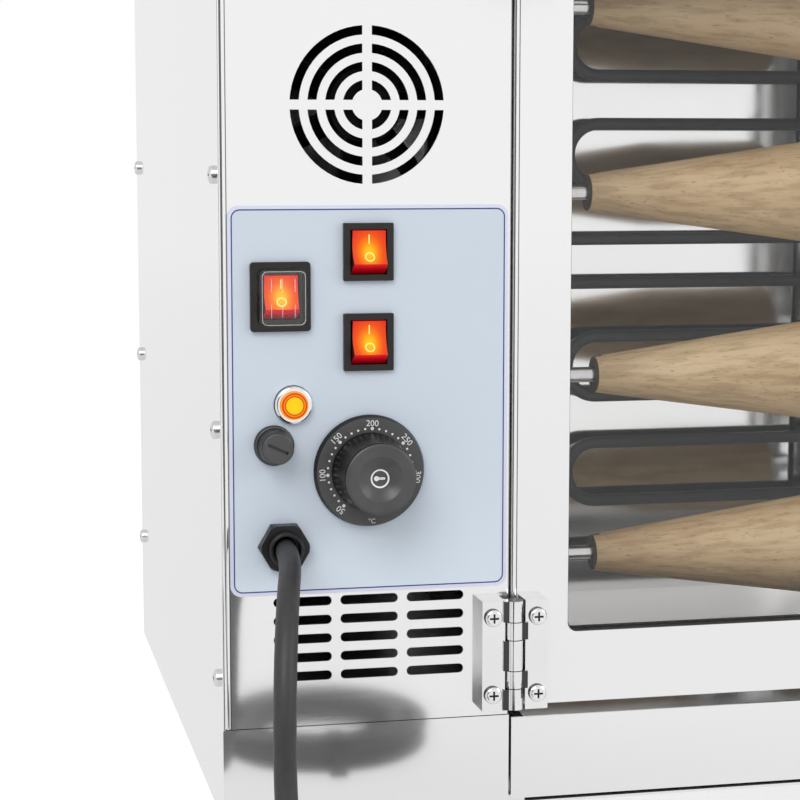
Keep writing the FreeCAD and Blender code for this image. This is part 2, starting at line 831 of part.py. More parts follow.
def switch_parts(x, z, bezel, corner):
    """A switch's housing, open for its rocker."""
    face = panel_face - bezel_thickness
    half_w, half_h = bezel[0] / 2, bezel[1] / 2
    plate = rounded_box(x - half_w, x + half_w, face, panel_face, z - half_h, z + half_h, corner, BACK)
    body_w, body_h = half_w - bezel_lap, half_h - bezel_lap
    body = box(x - body_w, x + body_w, panel_face, front + switch_body_depth, z - body_h, z + body_h)
    pivot_y = face + rocker_pivot_depth
    radius = rocker_drum_radius + rocker_play
    half_r = rocker_width / 2 + rocker_play
    well = rod(V(x - half_r, pivot_y, z), RIGHT, radius, 2 * half_r)
    mouth = box(x - half_r, x + half_r, face - 1, pivot_y, z - radius, z + radius)
    pins = rod(V(x - half_r - rocker_pin_length, pivot_y, z), RIGHT,
               rocker_pin_radius + pin_clearance, 2 * (half_r + rocker_pin_length))
    blades = [box(x - 3.2, x + 3.2, front + switch_body_depth, front + switch_body_depth + 8,
                  z + shift - 0.4, z + shift + 0.4) for shift in (-6.5, 0, 6.5)]
    return joined([joined([plate, body]).cut([well, mouth, pins])] + blades)


def make_switch_housings():
    """The power switch's housing and the two drive switches' housings."""
    power = switch_parts(left_column_x, power_switch_up, power_bezel, power_bezel_corner)
    return group([power] + [switch_parts(panel_x, z, drive_bezel, drive_bezel_corner)
                            for z in drive_switch_ups])


def make_rocker(x, z):
    """A rocker with a hollow face and curved ends, tipped to its ON side."""
    pivot_y = panel_face - bezel_thickness + rocker_pivot_depth
    radius = rocker_drum_radius
    x0 = x - rocker_width / 2
    lower_half = [(-up, reach) for up, reach in reversed(rocker_profile[:-1])]
    cap = prism([V(x0, pivot_y - reach, z + up) for up, reach in list(rocker_profile) + lower_half],
                RIGHT * rocker_width)
    drum = rod(V(x0, pivot_y, z), RIGHT, radius, rocker_width)
    drum = drum.common(box(x0, x0 + rocker_width, pivot_y - rocker_profile[0][1], pivot_y + rocker_back,
                           z - radius, z + radius))
    half_top = rocker_top_width / 2
    half_base = rocker_width / 2
    draft = [V(x + side * half, y, z - radius)
             for side, half, y in ((-1, half_base, pivot_y + rocker_back), (-1, half_base, pivot_y),
                                   (-1, half_top, pivot_y - radius), (1, half_top, pivot_y - radius),
                                   (1, half_base, pivot_y), (1, half_base, pivot_y + rocker_back))]
    body = joined([cap, drum]).common(prism(draft, UP * 2 * radius))
    reach = rocker_pin_length + rocker_play - pin_clearance
    pin = rod(V(x0 - reach, pivot_y, z), RIGHT, rocker_pin_radius, rocker_width + 2 * reach)
    body = joined([body, pin])
    body.rotate(V(x, pivot_y, z), RIGHT, -rocker_angle)
    return body


def make_power_switch_cover():
    """The clear flexible cover over the power rocker."""
    x, z = left_column_x, power_switch_up
    face = panel_face - bezel_thickness
    half_w, half_h = power_bezel[0] / 2 - 2.8, power_bezel[1] / 2 - 2.6
    outer = rounded_box(x - half_w, x + half_w, face - cover_reach, face, z - half_h, z + half_h,
                        3.0, BACK)
    outer = round_edges(outer, 1.4, lambda e: max(v.Point.y for v in e.Vertexes)
                        < face - cover_reach + 0.01)
    inner = box(x - half_w + cover_wall, x + half_w - cover_wall, face - cover_reach + cover_wall,
                face, z - half_h + cover_wall, z + half_h - cover_wall)
    return outer.cut(inner)


def make_lamp_ring():
    """The chrome ring of the heat lamp, with its threaded body behind the panel."""
    x, z = left + lamp_column, lamp_up
    ring = rod(V(x, panel_face - lamp_ring_height, z), BACK, lamp_ring_radius, lamp_ring_height)
    rim = [e for e in ring.Edges if abs(e.CenterOfMass.y - panel_face + lamp_ring_height) < 1e-6]
    ring = ring.makeFillet(1.2, rim)
    body = rod(V(x, panel_face, z), BACK, lamp_body_radius, lamp_body_depth)
    well = rod(V(x, panel_face - lamp_ring_height - 1, z), BACK, lamp_lens_radius,
               lamp_ring_height + 1)
    return joined([ring, body]).cut(well)


def make_lamp_lens():
    """The domed amber lens."""
    x, z = left + lamp_column, lamp_up
    lens = rod(V(x, panel_face, z), FORWARD, lamp_lens_radius, lamp_lens_height)
    rim = [e for e in lens.Edges if abs(e.CenterOfMass.y - panel_face + lamp_lens_height) < 1e-6]
    return lens.makeFillet(1.4, rim)


def make_thermostats():
    """The working thermostat with its shaft and the safety cut-out with its stem."""
    half = thermostat_size / 2
    body = rounded_box(panel_x - half, panel_x + half, front + sheet, front + thermostat_depth,
                       knob_up - half, knob_up + half, 4.0, BACK)
    shaft = rod(V(panel_x, front + sheet, knob_up), FORWARD, knob_shaft_radius,
                sheet + knob_shaft_reach)
    x, z = left + reset_column, reset_up
    cut_out = rod(V(x, front + sheet, z), BACK, 1.5 * reset_stem_radius, thermostat_depth)
    stem = rod(V(x, front + sheet, z), FORWARD, reset_stem_radius,
               sheet + label_thickness + reset_stem_height)
    return group([joined([body, shaft]), joined([cut_out, stem])])


def make_reset_cap():
    """The screwed cap over the reset pin: a rounded flange, a slight cone and a coin slot."""
    x, z = left + reset_column, reset_up
    y0 = panel_face - reset_stand_off
    face = y0 - reset_cap_height
    flange = rod(V(x, y0, z), FORWARD, reset_cap_radius, reset_flange_height)
    rim = [e for e in flange.Edges if abs(e.CenterOfMass.y - y0 + reset_flange_height) < 1e-6]
    flange = flange.makeFillet(reset_flange_height / 3, rim)
    body = cone(V(x, y0 - reset_flange_height, z), FORWARD, reset_cone_radius, reset_top_radius,
                reset_cap_height - reset_flange_height)
    rim = [e for e in body.Edges if abs(e.CenterOfMass.y - face) < 1e-6]
    body = body.makeFillet(reset_flange_height / 3, rim)
    bore = rod(V(x, y0, z), FORWARD, reset_stem_radius + pin_clearance, reset_stem_height)
    half_l, half_w = coin_slot_length / 2, coin_slot_width / 2
    slot = box(x - half_l, x + half_l, face - 1, face + coin_slot_depth, z - half_w, z + half_w)
    slot.rotate(V(x, face, z), FORWARD, -coin_slot_angle)
    return joined([flange, body]).cut([bore, slot])


def make_thermostat_knob():
    """A skirted dial knob with a round finger dish in its face."""
    y0 = panel_face - knob_stand_off
    place = V(panel_x, y0, knob_up)
    skirt = cone(place, FORWARD, knob_skirt_radius, knob_skirt_radius - 1.0, knob_skirt_height)
    body = cone(V(panel_x, y0 - knob_skirt_height, knob_up), FORWARD, knob_body_radius,
                knob_top_radius, knob_height - knob_skirt_height)
    rim = [e for e in body.Edges if abs(e.CenterOfMass.y - y0 + knob_height) < 1e-6]
    body = body.makeFillet(1.5, rim)
    dish_sphere = (knob_dish_radius ** 2 + knob_dish_depth ** 2) / (2 * knob_dish_depth)
    dish_centre = V(panel_x, y0 - knob_height + knob_dish_depth - dish_sphere, knob_up)
    body = body.cut(Part.makeSphere(dish_sphere, dish_centre))
    bore = rod(place, FORWARD, knob_shaft_radius + pin_clearance, knob_shaft_reach)
    return joined([skirt, body]).cut(bore)


def hexagon(centre, across_flats, height, direction):
    """A hexagonal block."""
    radius = across_flats / math.sqrt(3)
    points = []
    for i in range(6):
        angle = math.pi / 3 * i
        points.append(centre + V(radius * math.cos(angle), 0, radius * math.sin(angle)))
    return prism(points, direction * height)


def make_cord_gland():
    """The hexagonal cable gland with its sleeve, thread and lock nut."""
    x, z = left + gland_column, gland_up
    nut = hexagon(V(x, panel_face, z), gland_across_flats, gland_nut_height, FORWARD)
    trim = cone(V(x, panel_face, z), FORWARD, gland_across_flats * 0.60, gland_across_flats * 0.53,
                gland_nut_height)
    nut = nut.common(trim)
    sleeve = rod(V(x, panel_face - gland_nut_height, z), FORWARD, gland_sleeve_radius,
                 gland_sleeve_height)
    rim = [e for e in sleeve.Edges
           if abs(e.CenterOfMass.y - panel_face + gland_nut_height + gland_sleeve_height) < 1e-6]
    sleeve = sleeve.makeFillet(1.2, rim)
    thread = rod(V(x, panel_face, z), BACK, gland_thread_radius, gland_depth)
    lock = hexagon(V(x, front + sheet, z), gland_across_flats, gland_lock_nut, BACK)
    bore = rod(V(x, panel_face - gland_nut_height - gland_sleeve_height - 1, z), BACK,
               cord_radius + cord_bore_clearance,
               label_thickness + gland_nut_height + gland_sleeve_height + 1 + cord_seat_depth)
    mouth = rod(V(x, panel_face - gland_nut_height - gland_sleeve_height, z), BACK,
                gland_mouth_radius, gland_mouth_depth)
    return joined([nut, sleeve, thread, lock]).cut([bore, mouth])


def make_fan_frame():
    """The fan's square frame with four struts and its fixed shaft."""
    half = fan_size / 2
    y0 = front + sheet
    y1 = y0 + fan_thickness
    frame = rounded_box(panel_x - half, panel_x + half, y0, y1, fan_up - half, fan_up + half,
                        5.0, BACK)
    frame = frame.cut(rod(V(panel_x, y0, fan_up), BACK, fan_bore_radius, fan_thickness))
    centre = V(panel_x, y1 - fan_strut, fan_up)
    seat = rod(centre, BACK, fan_hub_radius, fan_strut)
    reach = fan_bore_radius + 1
    struts = [box(panel_x - reach, panel_x + reach, y1 - fan_strut, y1, fan_up - 1.5, fan_up + 1.5),
              box(panel_x - 1.5, panel_x + 1.5, y1 - fan_strut, y1, fan_up - reach, fan_up + reach)]
    shaft = rod(centre, FORWARD, fan_shaft_radius, fan_rotor_length - fan_rotor_cap)
    return joined([frame, seat, shaft] + struts)


def make_fan_rotor():
    """The fan's hub and blades, open at the back over the fixed shaft."""
    y1 = front + sheet + fan_thickness - fan_strut - knuckle_gap
    y0 = y1 - fan_rotor_length
    hub = rod(V(panel_x, y0, fan_up), BACK, fan_hub_radius, fan_rotor_length)
    blades = []
    for i in range(fan_blade_count):
        blade = box(fan_hub_radius - 1.5, fan_blade_radius, -fan_rotor_length * 0.55,
                    fan_rotor_length * 0.55, -fan_blade_thickness / 2, fan_blade_thickness / 2)
        blade.rotate(V(0, 0, 0), RIGHT, fan_blade_angle)
        blade.translate(V(panel_x, (y0 + y1) / 2, fan_up))
        blade.rotate(V(panel_x, 0, fan_up), BACK, 360.0 * i / fan_blade_count)
        blades.append(blade)
    band = rod(V(panel_x, y0, fan_up), BACK, fan_blade_radius, fan_rotor_length)
    bore = rod(V(panel_x, y0 + fan_rotor_cap, fan_up), BACK, fan_shaft_radius + pin_clearance,
               fan_rotor_length)
    return joined([hub] + [blade.common(band) for blade in blades]).cut(bore)


def window_box(grow, y0, y1, radius):
    """The left window's outline, grown by a margin."""
    return rounded_box(door_left + door_stile - grow, door_right - door_stile + grow, y0, y1,
                       door_bottom + door_rail - grow, door_top - door_stile + grow, radius, BACK)


def make_door_frame():
    """The left door's folded frame: skin, return edges and the glass pocket."""
    y1 = front + door_thickness
    outer = box(door_left, door_right, front, y1, door_bottom, door_top)
    outer = round_edges(outer, door_bend_radius, on_front_upright)
    wall = door_skin
    pocket = glass_overlap + glass_pocket_gap
    hollow = box(door_left + wall, door_right - wall, front + wall, y1 - wall,
                 door_bottom + wall, door_top - wall)
    hollow = hollow.cut(window_box(pocket + wall, front, y1, window_corner + pocket + wall))
    rear = window_box(0, front - 1, y1 + 1, window_corner)
    seat_end = front + wall + 2 * gasket_lip + glass_thickness
    seat = window_box(pocket, front + wall, seat_end, window_corner + pocket)
    behind = window_box(pocket, seat_end + wall, y1 + 1, window_corner + pocket)
    return outer.cut([hollow, rear, seat, behind])


def make_door_glass():
    """The left door's pane."""
    y0 = front + door_skin + gasket_lip
    return window_box(glass_overlap, y0, y0 + glass_thickness, window_corner + glass_overlap)


def make_door_gasket():
    """The rubber channel round the pane."""
    y0 = front + door_skin
    y1 = y0 + 2 * gasket_lip + glass_thickness
    outer = window_box(gasket_width, y0, y1, window_corner + gasket_width)
    inner = window_box(-gasket_reveal, y0 - 1, y1 + 1, window_corner)
    return outer.cut([inner, make_door_glass()])


def make_door_handle():
    """A bar handle on two posts, near the left door's meeting edge."""
    x = door_right - handle_inset
    middle = (door_bottom + door_top) / 2
    half = handle_length / 2
    bar_y = front - handle_reach + handle_bar_radius
    bar = rod(V(x, bar_y, middle - half), UP, handle_bar_radius, handle_length)
    ends = [e for e in bar.Edges if abs(abs(e.CenterOfMass.z - middle) - half) < 1e-6
            and isinstance(e.Curve, Part.Circle)]
    bar = bar.makeFillet(1.0, ends)
    posts = [rod(V(x, front, middle + side * half * 0.75), FORWARD, handle_post_radius,
                 handle_reach - handle_bar_radius) for side in (-1, 1)]
    return joined([bar] + posts)


def knuckle_spans(z0):
    """Bottom and top of each knuckle of one hinge."""
    spans = []
    for height in knuckle_heights:
        spans.append((z0 + knuckle_play / 2, z0 + height - knuckle_play / 2))
        z0 += height
    return spans


def hinge_bottoms():
    """Lower ends of a door's two hinges."""
    return (door_bottom + hinge_end_gap, door_top - hinge_end_gap - hinge_height)


def hinge_leaf(side, z0):
    """One leaf with its share of the knuckles; side is -1 for the cabinet's leaf."""
    y0, y1 = front - hinge_leaf_thickness, front
    inner = knuckle_radius + knuckle_gap
    x0, x1 = sorted((hinge_x + side * inner, hinge_x + side * hinge_leaf_reach))
    leaf = box(x0, x1, y0, y1, z0, z0 + hinge_height)
    parts = [leaf]
    for i, (low, high) in enumerate(knuckle_spans(z0)):
        if (i % 2 == 0) != (side < 0):
            continue
        barrel = rod(V(hinge_x, hinge_y, low), UP, knuckle_radius, high - low)
        a, b = sorted((hinge_x, hinge_x + side * (inner + 1)))
        web = box(a, b, hinge_y - knuckle_radius * 0.7, hinge_y + knuckle_radius * 0.7, low, high)
        parts += [barrel, web]
    bore = rod(V(hinge_x, hinge_y, z0 - 1), UP, hinge_pin_radius + pin_clearance, hinge_height + 2)
    return joined(parts).cut([bore] + [rod(V(x, y0 - 1, z), BACK, screw_radius + screw_clearance,
                                           hinge_leaf_thickness + 2) for x, z in leaf_screws(side, z0)])


def leaf_screws(side, z0):
    """X and Z of a leaf's two screws."""
    x = hinge_x + side * hinge_screw_offset
    return [(x, z0 + hinge_screw_end), (x, z0 + hinge_height - hinge_screw_end)]


def leaf_screw_solids(side, z0):
    """A leaf's pan-head screws."""
    y0 = front - hinge_leaf_thickness
    return [pan_screw(V(x, y0, z), FORWARD, hinge_leaf_thickness - 0.2)
            for x, z in leaf_screws(side, z0)]


def make_cabinet_hinges():
    """The hinge leaves on the cabinet, with their pins and screws, on both sides."""
    parts = []
    for z0 in hinge_bottoms():
        pin = rod(V(hinge_x, hinge_y, z0), UP, hinge_pin_radius, hinge_height)
        solids = [hinge_leaf(-1, z0), pin] + leaf_screw_solids(-1, z0)
        parts += solids + [mirrored(solid) for solid in solids]
    return group(parts)


def make_door_hinges():
    """The hinge leaves and screws on the left door."""
    parts = []
    for z0 in hinge_bottoms():
        parts += [hinge_leaf(1, z0)] + leaf_screw_solids(1, z0)
    return group(parts)


def make_crumb_drawer():
    """The wide tray under the chamber, with its front and a folded pull lip."""
    x0, x1 = chamber_left + drawer_side_gap, chamber_right - drawer_side_gap
    z0, z1 = base_bottom + sheet + drawer_edge_gap, base_top - drawer_edge_gap
    panel = box(x0, x1, front, front + sheet, z0, z1)
    lip_x0, lip_x1 = chamber_middle - drawer_lip_width / 2, chamber_middle + drawer_lip_width / 2
    lip = box(lip_x0, lip_x1, front - drawer_lip, front + sheet, z1 - sheet, z1)
    lip = round_edges(lip, 5.0, lambda e: along(e, UP) and abs(e.Vertexes[0].Point.y - front
                                                               + drawer_lip) < 1e-6)
    floor = base_bottom + sheet + runner_height + joint_gap
    tray = box(x0 + drawer_tray_inset, x1 - drawer_tray_inset, front, front + drawer_depth, floor,
               floor + drawer_tray_height)
    hollow = box(x0 + drawer_tray_inset + drawer_wall, x1 - drawer_tray_inset - drawer_wall,
                 front + sheet, front + drawer_depth - drawer_wall, floor + drawer_wall,
                 floor + drawer_tray_height + 1)
    wings = [box(x, x + drawer_tray_inset, front, front + drawer_depth, floor, floor + drawer_wall)
             for x in (x0, x1 - drawer_tray_inset)]
    return joined([panel, lip, tray.cut(hollow)] + wings)


# Cord route: from the seat inside the gland, out, down the front and along the floor
cord_x = left + gland_column
cord_route = [V(cord_x, front + cord_seat_depth, gland_up), V(cord_x, front - cord_exit_reach, gland_up)]
for shift, reach, height in cord_points:
    cord_route.append(V(cord_x + shift, front - reach, cord_radius + height))
coil_pitch = 2 * cord_radius + coil_gap
coil_outer_radius = coil_middle_radius + coil_pitch * coil_turns_per_layer / 2


def cord_bend(i):
    """Radius of the route's bend at one point."""
    a = cord_route[i - 1] - cord_route[i]
    b = cord_route[i + 1] - cord_route[i]
    half_turn = (math.pi - a.getAngle(b)) / 2
    return 0.45 * min(a.Length, b.Length) / math.tan(half_turn)


def make_power_cord():
    """The cord from the gland to the coil."""
    solid, length = tube_along(cord_route, cord_radius, cord_bend)
    print("cord radii", [round(cord_bend(i), 1) for i in range(1, len(cord_route) - 1)])
    print("cord length", round(length, 1), "volume ratio",
          round(solid.Volume / (math.pi * cord_radius ** 2 * length), 4))
    return solid


def coil_point(turn):
    """A point of the coil after so many turns; it spirals in, climbs and spirals out."""
    half = coil_turns_per_layer
    inwards = min(turn, 2 * half - turn)
    radius = coil_outer_radius - coil_pitch * inwards
    climb = min(max((turn - half + 0.25) / 0.5, 0.0), 1.0)
    rise = (coil_pitch - 0.2) * (1 - math.cos(math.pi * climb)) / 2
    end = cord_route[-1]
    angle = math.pi + 2 * math.pi * turn
    centre = V(end.x + coil_outer_radius, end.y, 0)
    return V(centre.x + radius * math.cos(angle), centre.y + radius * math.sin(angle),
             cord_radius + rise)


def coil_tangent(turn):
    """The coil's direction at a point."""
    step = 1e-4
    return (coil_point(turn + step) - coil_point(turn - step)).normalize()


def tangent_arc(start, tangent, end):
    """The arc that leaves start along a tangent and ends at a point."""
    chord = end - start
    angle = tangent.getAngle(chord)
    outward = tangent - chord * (tangent.dot(chord) / chord.dot(chord))
    outward.normalize()
    middle = start + chord * 0.5 + outward * (chord.Length / 2 * math.tan(angle / 2))
    return Part.Arc(start, middle, end).toShape()


def biarc(start, tangent_1, end, tangent_2):
    """Two arcs that join two points smoothly."""
    chord = end - start
    both = tangent_1 + tangent_2
    turn = 2 * (1 - tangent_1.dot(tangent_2))
    along_both = chord.dot(both)
    square = chord.dot(chord)
    reach = square / (along_both + math.sqrt(along_both ** 2 + turn * square))
    middle = (start + tangent_1 * reach + end - tangent_2 * reach) * 0.5
    first = tangent_arc(start, tangent_1, middle)
    last = tangent_arc(end, tangent_2 * -1, middle)
    return [first, last]


def coil_tail_end():
    """Where the coil's tail meets the plug, level and high enough for the plug to lie on the floor."""
    heading = coil_tangent(coil_last_turn)
    heading = V(heading.x, heading.y, 0).normalize()
    end = coil_point(coil_last_turn) + heading * coil_tail + heading.cross(UP) * coil_gap * 3
    return V(end.x, end.y, plug_radius), heading


def make_cord_coil():
    """The put-away length, wound in two layers on the floor in front of the oven."""
    start = cord_route[-1]
    heading = (cord_route[-1] - cord_route[-2]).normalize()
    turns = [0.25 * i for i in range(1, int(4 * coil_last_turn) + 1)]
    lead = start + heading * (2 * cord_radius)
    edges = [Part.LineSegment(start, lead).toShape()]
    place, tangent = lead, heading
    for turn in turns:
        next_place, next_tangent = coil_point(turn), coil_tangent(turn)
        edges += biarc(place, tangent, next_place, next_tangent)
        place, tangent = next_place, next_tangent
    tail, tail_heading = coil_tail_end()
    last_run = tail - tail_heading * (2 * cord_radius)
    edges += biarc(place, tangent, last_run, tail_heading)
    edges.append(Part.LineSegment(last_run, tail).toShape())
    wire = Part.Wire(edges)
    profile = Part.Wire([Part.Circle(start, heading, cord_radius).toShape()])
    shell = Part.BRepOffsetAPI.MakePipeShell(wire)
    shell.add(profile)
    shell.build()
    shell.makeSolid()
    solid = shell.shape()
    print("coil length", round(wire.Length, 1), "least gap", round(least_gap(), 2),
          "volume ratio", round(solid.Volume / (math.pi * cord_radius ** 2 * wire.Length), 4))
    return solid


def least_gap():
    """The smallest space between two turns of the coil, measured on points."""
    count = 72
    points = [coil_point(i / count) for i in range(int(count * coil_last_turn) + 1)]
    gap = 1e9
    for i, a in enumerate(points):
        for b in points[i + count // 2:]:
            gap = min(gap, (a - b).Length - 2 * cord_radius)
    return gap


def make_power_plug():
    """A two-pin plug that lies on the floor at the coil's end."""
    start, direction = coil_tail_end()
    neck = cone(start, direction, plug_neck_radius, plug_neck_radius + 2, plug_neck_length)
    body_start = start + direction * plug_neck_length
    body = rod(body_start, direction, plug_radius, plug_length)
    rims = [e for e in body.Edges if isinstance(e.Curve, Part.Circle)]
    body = body.makeFillet(4.0, rims)
    face = body_start + direction * plug_length
    across = direction.cross(UP).normalize()
    pins = [rod(face - direction + across * (side * plug_pin_pitch / 2), direction,
                plug_pin_radius, plug_pin_length + 1) for side in (-1, 1)]
    return joined([neck, body] + pins)


def make_all():
    """Every node by name."""
    nodes = {
        "base_frame": make_base_frame(),
        "side_covers": group([make_side_cover(-1), make_side_cover(1)]),
        "top_cover": make_top_cover(),
        "rear_cover": make_rear_cover(),
        "control_front": make_control_front(),
        "right_front": make_right_front(),
        "partitions": make_partitions(),
        "chamber_liner": make_chamber_liner(),
        "centre_support": make_centre_support(),
        "feet": make_feet(),
        "cabinet_screws": make_cabinet_screws(),
        "spindle_bearings": make_spindle_bearings(),
        "drive_motors": make_drive_motors(),
        "drive_chains": make_drive_chains(),
        "heating_elements": group([make_heating_element(-1), make_heating_element(1)]),
        "control_label": make_control_label(),
        "switch_housings": make_switch_housings(),
        "power_switch_cover": make_power_switch_cover(),
        "power_rocker": make_rocker(left_column_x, power_switch_up),
        "left_drive_rocker": make_rocker(panel_x, drive_switch_ups[0]),
        "right_drive_rocker": make_rocker(panel_x, drive_switch_ups[1]),
        "lamp_ring": make_lamp_ring(),
        "lamp_lens": make_lamp_lens(),
        "thermostats": make_thermostats(),
        "reset_cap": make_reset_cap(),
        "thermostat_knob": make_thermostat_knob(),
        "cord_gland": make_cord_gland(),
        "power_cord": make_power_cord(),
        "cord_coil": make_cord_coil(),
        "power_plug": make_power_plug(),
        "fan_frame": make_fan_frame(),
        "fan_rotor": make_fan_rotor(),
        "cabinet_hinges": make_cabinet_hinges(),
        "crumb_drawer": make_crumb_drawer(),
    }
    left_door = {"frame": make_door_frame(), "glass": make_door_glass(),
                 "gasket": make_door_gasket(), "handle": make_door_handle(),
                 "hinges": make_door_hinges()}
    for name, shape in left_door.items():
        nodes["left_door_" + name] = shape
        nodes["right_door_" + name] = mirrored(shape)
    for row in range(row_count):
        nodes["left_spindle_%d" % (row + 1)] = make_spindle(row)
        nodes["right_spindle_%d" % (row + 1)] = mirrored(make_spindle(row))
        nodes["left_roller_%d" % (row + 1)] = make_roller(row)
        nodes["right_roller_%d" % (row + 1)] = mirrored(make_roller(row))
    return nodes


def main():
    """Write one STEP file for each node."""
    os.makedirs("parts", exist_ok=True)
    for name, shape in make_all().items():
        shape.exportStep("parts/%s.step" % name)
        print(name, shape.isValid(), len(shape.Solids), round(shape.Volume / 1000, 1))


main()
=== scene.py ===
"""Looks for the chimney cake oven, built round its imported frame.
Helpers take millimetres and Blender gets metres. +Z is up and the front faces -Y."""

import json
import math

import bmesh
import bpy
from mathutils import Matrix, Vector


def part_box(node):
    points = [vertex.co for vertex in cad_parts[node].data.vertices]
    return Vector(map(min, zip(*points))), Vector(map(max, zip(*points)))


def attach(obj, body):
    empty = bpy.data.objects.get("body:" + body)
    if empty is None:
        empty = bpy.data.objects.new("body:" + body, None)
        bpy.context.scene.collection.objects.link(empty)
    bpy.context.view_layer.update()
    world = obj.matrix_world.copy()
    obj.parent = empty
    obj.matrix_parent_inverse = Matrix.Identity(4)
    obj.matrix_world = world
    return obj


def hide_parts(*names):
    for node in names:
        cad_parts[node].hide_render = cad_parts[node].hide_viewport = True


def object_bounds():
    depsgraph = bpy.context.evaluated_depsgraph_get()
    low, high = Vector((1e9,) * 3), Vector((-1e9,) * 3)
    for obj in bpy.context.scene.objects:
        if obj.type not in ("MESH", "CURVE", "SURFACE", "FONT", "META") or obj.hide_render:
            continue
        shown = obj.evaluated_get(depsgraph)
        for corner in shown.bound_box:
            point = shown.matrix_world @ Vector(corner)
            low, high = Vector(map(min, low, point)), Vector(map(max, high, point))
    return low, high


MM = 0.001
RIGHT = Vector((1, 0, 0))
FORWARD = Vector((0, -1, 0))
UP = Vector((0, 0, 1))

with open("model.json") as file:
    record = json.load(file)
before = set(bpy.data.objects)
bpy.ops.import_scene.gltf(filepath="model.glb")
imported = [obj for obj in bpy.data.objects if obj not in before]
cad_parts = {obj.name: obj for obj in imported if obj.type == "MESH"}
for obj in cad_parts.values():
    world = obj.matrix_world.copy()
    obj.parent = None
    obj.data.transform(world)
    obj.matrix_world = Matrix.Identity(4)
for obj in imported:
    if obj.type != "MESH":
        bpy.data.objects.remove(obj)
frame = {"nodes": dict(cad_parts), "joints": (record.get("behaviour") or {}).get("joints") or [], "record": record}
nodes = frame["nodes"]
cad_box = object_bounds()
cad_low = Vector(cad_box[0]) / MM

# Camera: the point it looks at, its distance, its heading and its lens
camera_target = (-332.5, -174.2, 209.0)
camera_distance = 925.0
camera_yaw = 12.25
camera_pitch = 6.79
camera_lens = 94.5
camera_sensor = 36.0
camera_clip = (0.01, 50.0)

# Lamps: name, place, target and size in metres, and power in watts
lamps = [("key_lamp", (-1.3, -1.9, 1.7), (-0.1, 0.0, 0.25), 1.4, 26.0),
         ("side_lamp", (1.8, -1.4, 1.2), (0.0, 0.0, 0.25), 1.2, 12.0)]

# Room: the fill on matt surfaces, and the floor's tone and its own glow to the eye
room_fill = 0.62
floor_reach = 8000.0
floor_tone = 0.8
floor_glow = 0.5

# The floor in reflections: an even glow from near to far, with the distances in metres
mirrored_glows = (0.935, 1.0)
mirrored_distances = (0.4, 6.0)

# Darker sides of the room in reflections: direction, spread and soft edge in degrees, share lost
room_dark_sides = [((-0.39, -0.92, -0.05), 20.0, 3.0, 0.95), ((-0.2, 0.9, 0.35), 70.0, 20.0, 0.1),
                   ((0.0, 0.0, 1.0), 75.0, 10.0, 0.12)]

# Meshes: edges over these angles stay sharp, or are rounded
sharp_angle = 32.0
bevel_angle = 35.0
bevel_segments = 3

# Panel printing
border_inset = 1.75
border_line = 0.55
border_corner = 3.9
label_corner = 4.8
print_height = 0.04
print_root = 0.01
capital_share = 0.7

# Dial: a mark every 10 degrees C and a number at every fifth mark
dial_marks = 26
dial_marks_per_number = 5
dial_first_number = 50
dial_number_rise = 10
dial_step = 47.8
dial_first_angle = 231.0
dial_number_radius = 21.2
dial_dot_radius = 19.0
dial_digit_height = 2.65
dial_major_dot = 0.72
dial_minor_dot = 0.5
dial_unit_place = (0.6, -22.1)
dial_unit_height = 2.1
dial_skirt_height = 3.2
dish_radius = 9.8
dish_depth = 3.2
mark_ring_radius = 4.1
mark_ring_width = 0.7
mark_bulb = (-1.5, 0.0, 1.1)
mark_stem = (-0.8, 2.3, -0.5, 0.5)
mark_stem_corner = 0.45

# Hems of folded sheets
hem_width = 2.3
hem_height = 0.25
hem_root = 0.05
hem_end_gap = 0.5
hem_seam = 0.4
hem_steps = 12
corner_overhang = 0.2
door_hem_inset = 0.3

# Dark ring under the lamp's chrome ring, whose thin black rim is a painted shadow line
ring_shadow_depth = 1.0
ring_shadow_height = 0.3
ring_shadow_overhang = 0.25

# Rockers: heights and reaches from the pivot, half widths at the pivot and at the ridge, and the
# brightest places of the lit face and of the facet below it
rocker_half_widths = (7.9, 7.4)
rocker_drum_radius = 9.6
rocker_tilt = 15.0
rocker_face = [(7.6, 8.2), (6.0, 7.38), (4.0, 6.6), (2.0, 6.08), (0.0, 5.9),
               (-2.0, 6.08), (-4.0, 6.6), (-6.0, 7.38), (-7.6, 8.2)]
rocker_drum_turns = (-82, -96, -110, -121, 121, 110, 96, 82)
rocker_edge_round = 0.35
rocker_glow_heart = (0.0, -6.2, -0.4)
rocker_glow_reach = 10.5
rocker_facet_heart = (0.0, -9.9, -5.2)
rocker_facet_reach = 7.0
bar_sign_up = 4.0
bar_sign_half = 1.9
bar_sign_half_width = 0.27
ring_sign_up = -3.9
ring_sign_radii = (2.2, 1.65)
ring_sign_steps = 32

# Thin ribs and a raised edge on the clear cover, from its middle, that stand for glints: painted reflections
glint_rib_columns = (-5.4, -0.6, 4.8)
glint_rib_rows = (-5.6, 5.6)
glint_rib_half_width = 0.16
glint_rib_half_length = 2.9
glint_rib_corner = 0.2
glint_rib_height = 0.25
glint_edge_insets = (0.9, 1.15)
glint_edge_corners = (2.4, 2.2)
glint_edge_height = 0.2
cover_root = 0.1

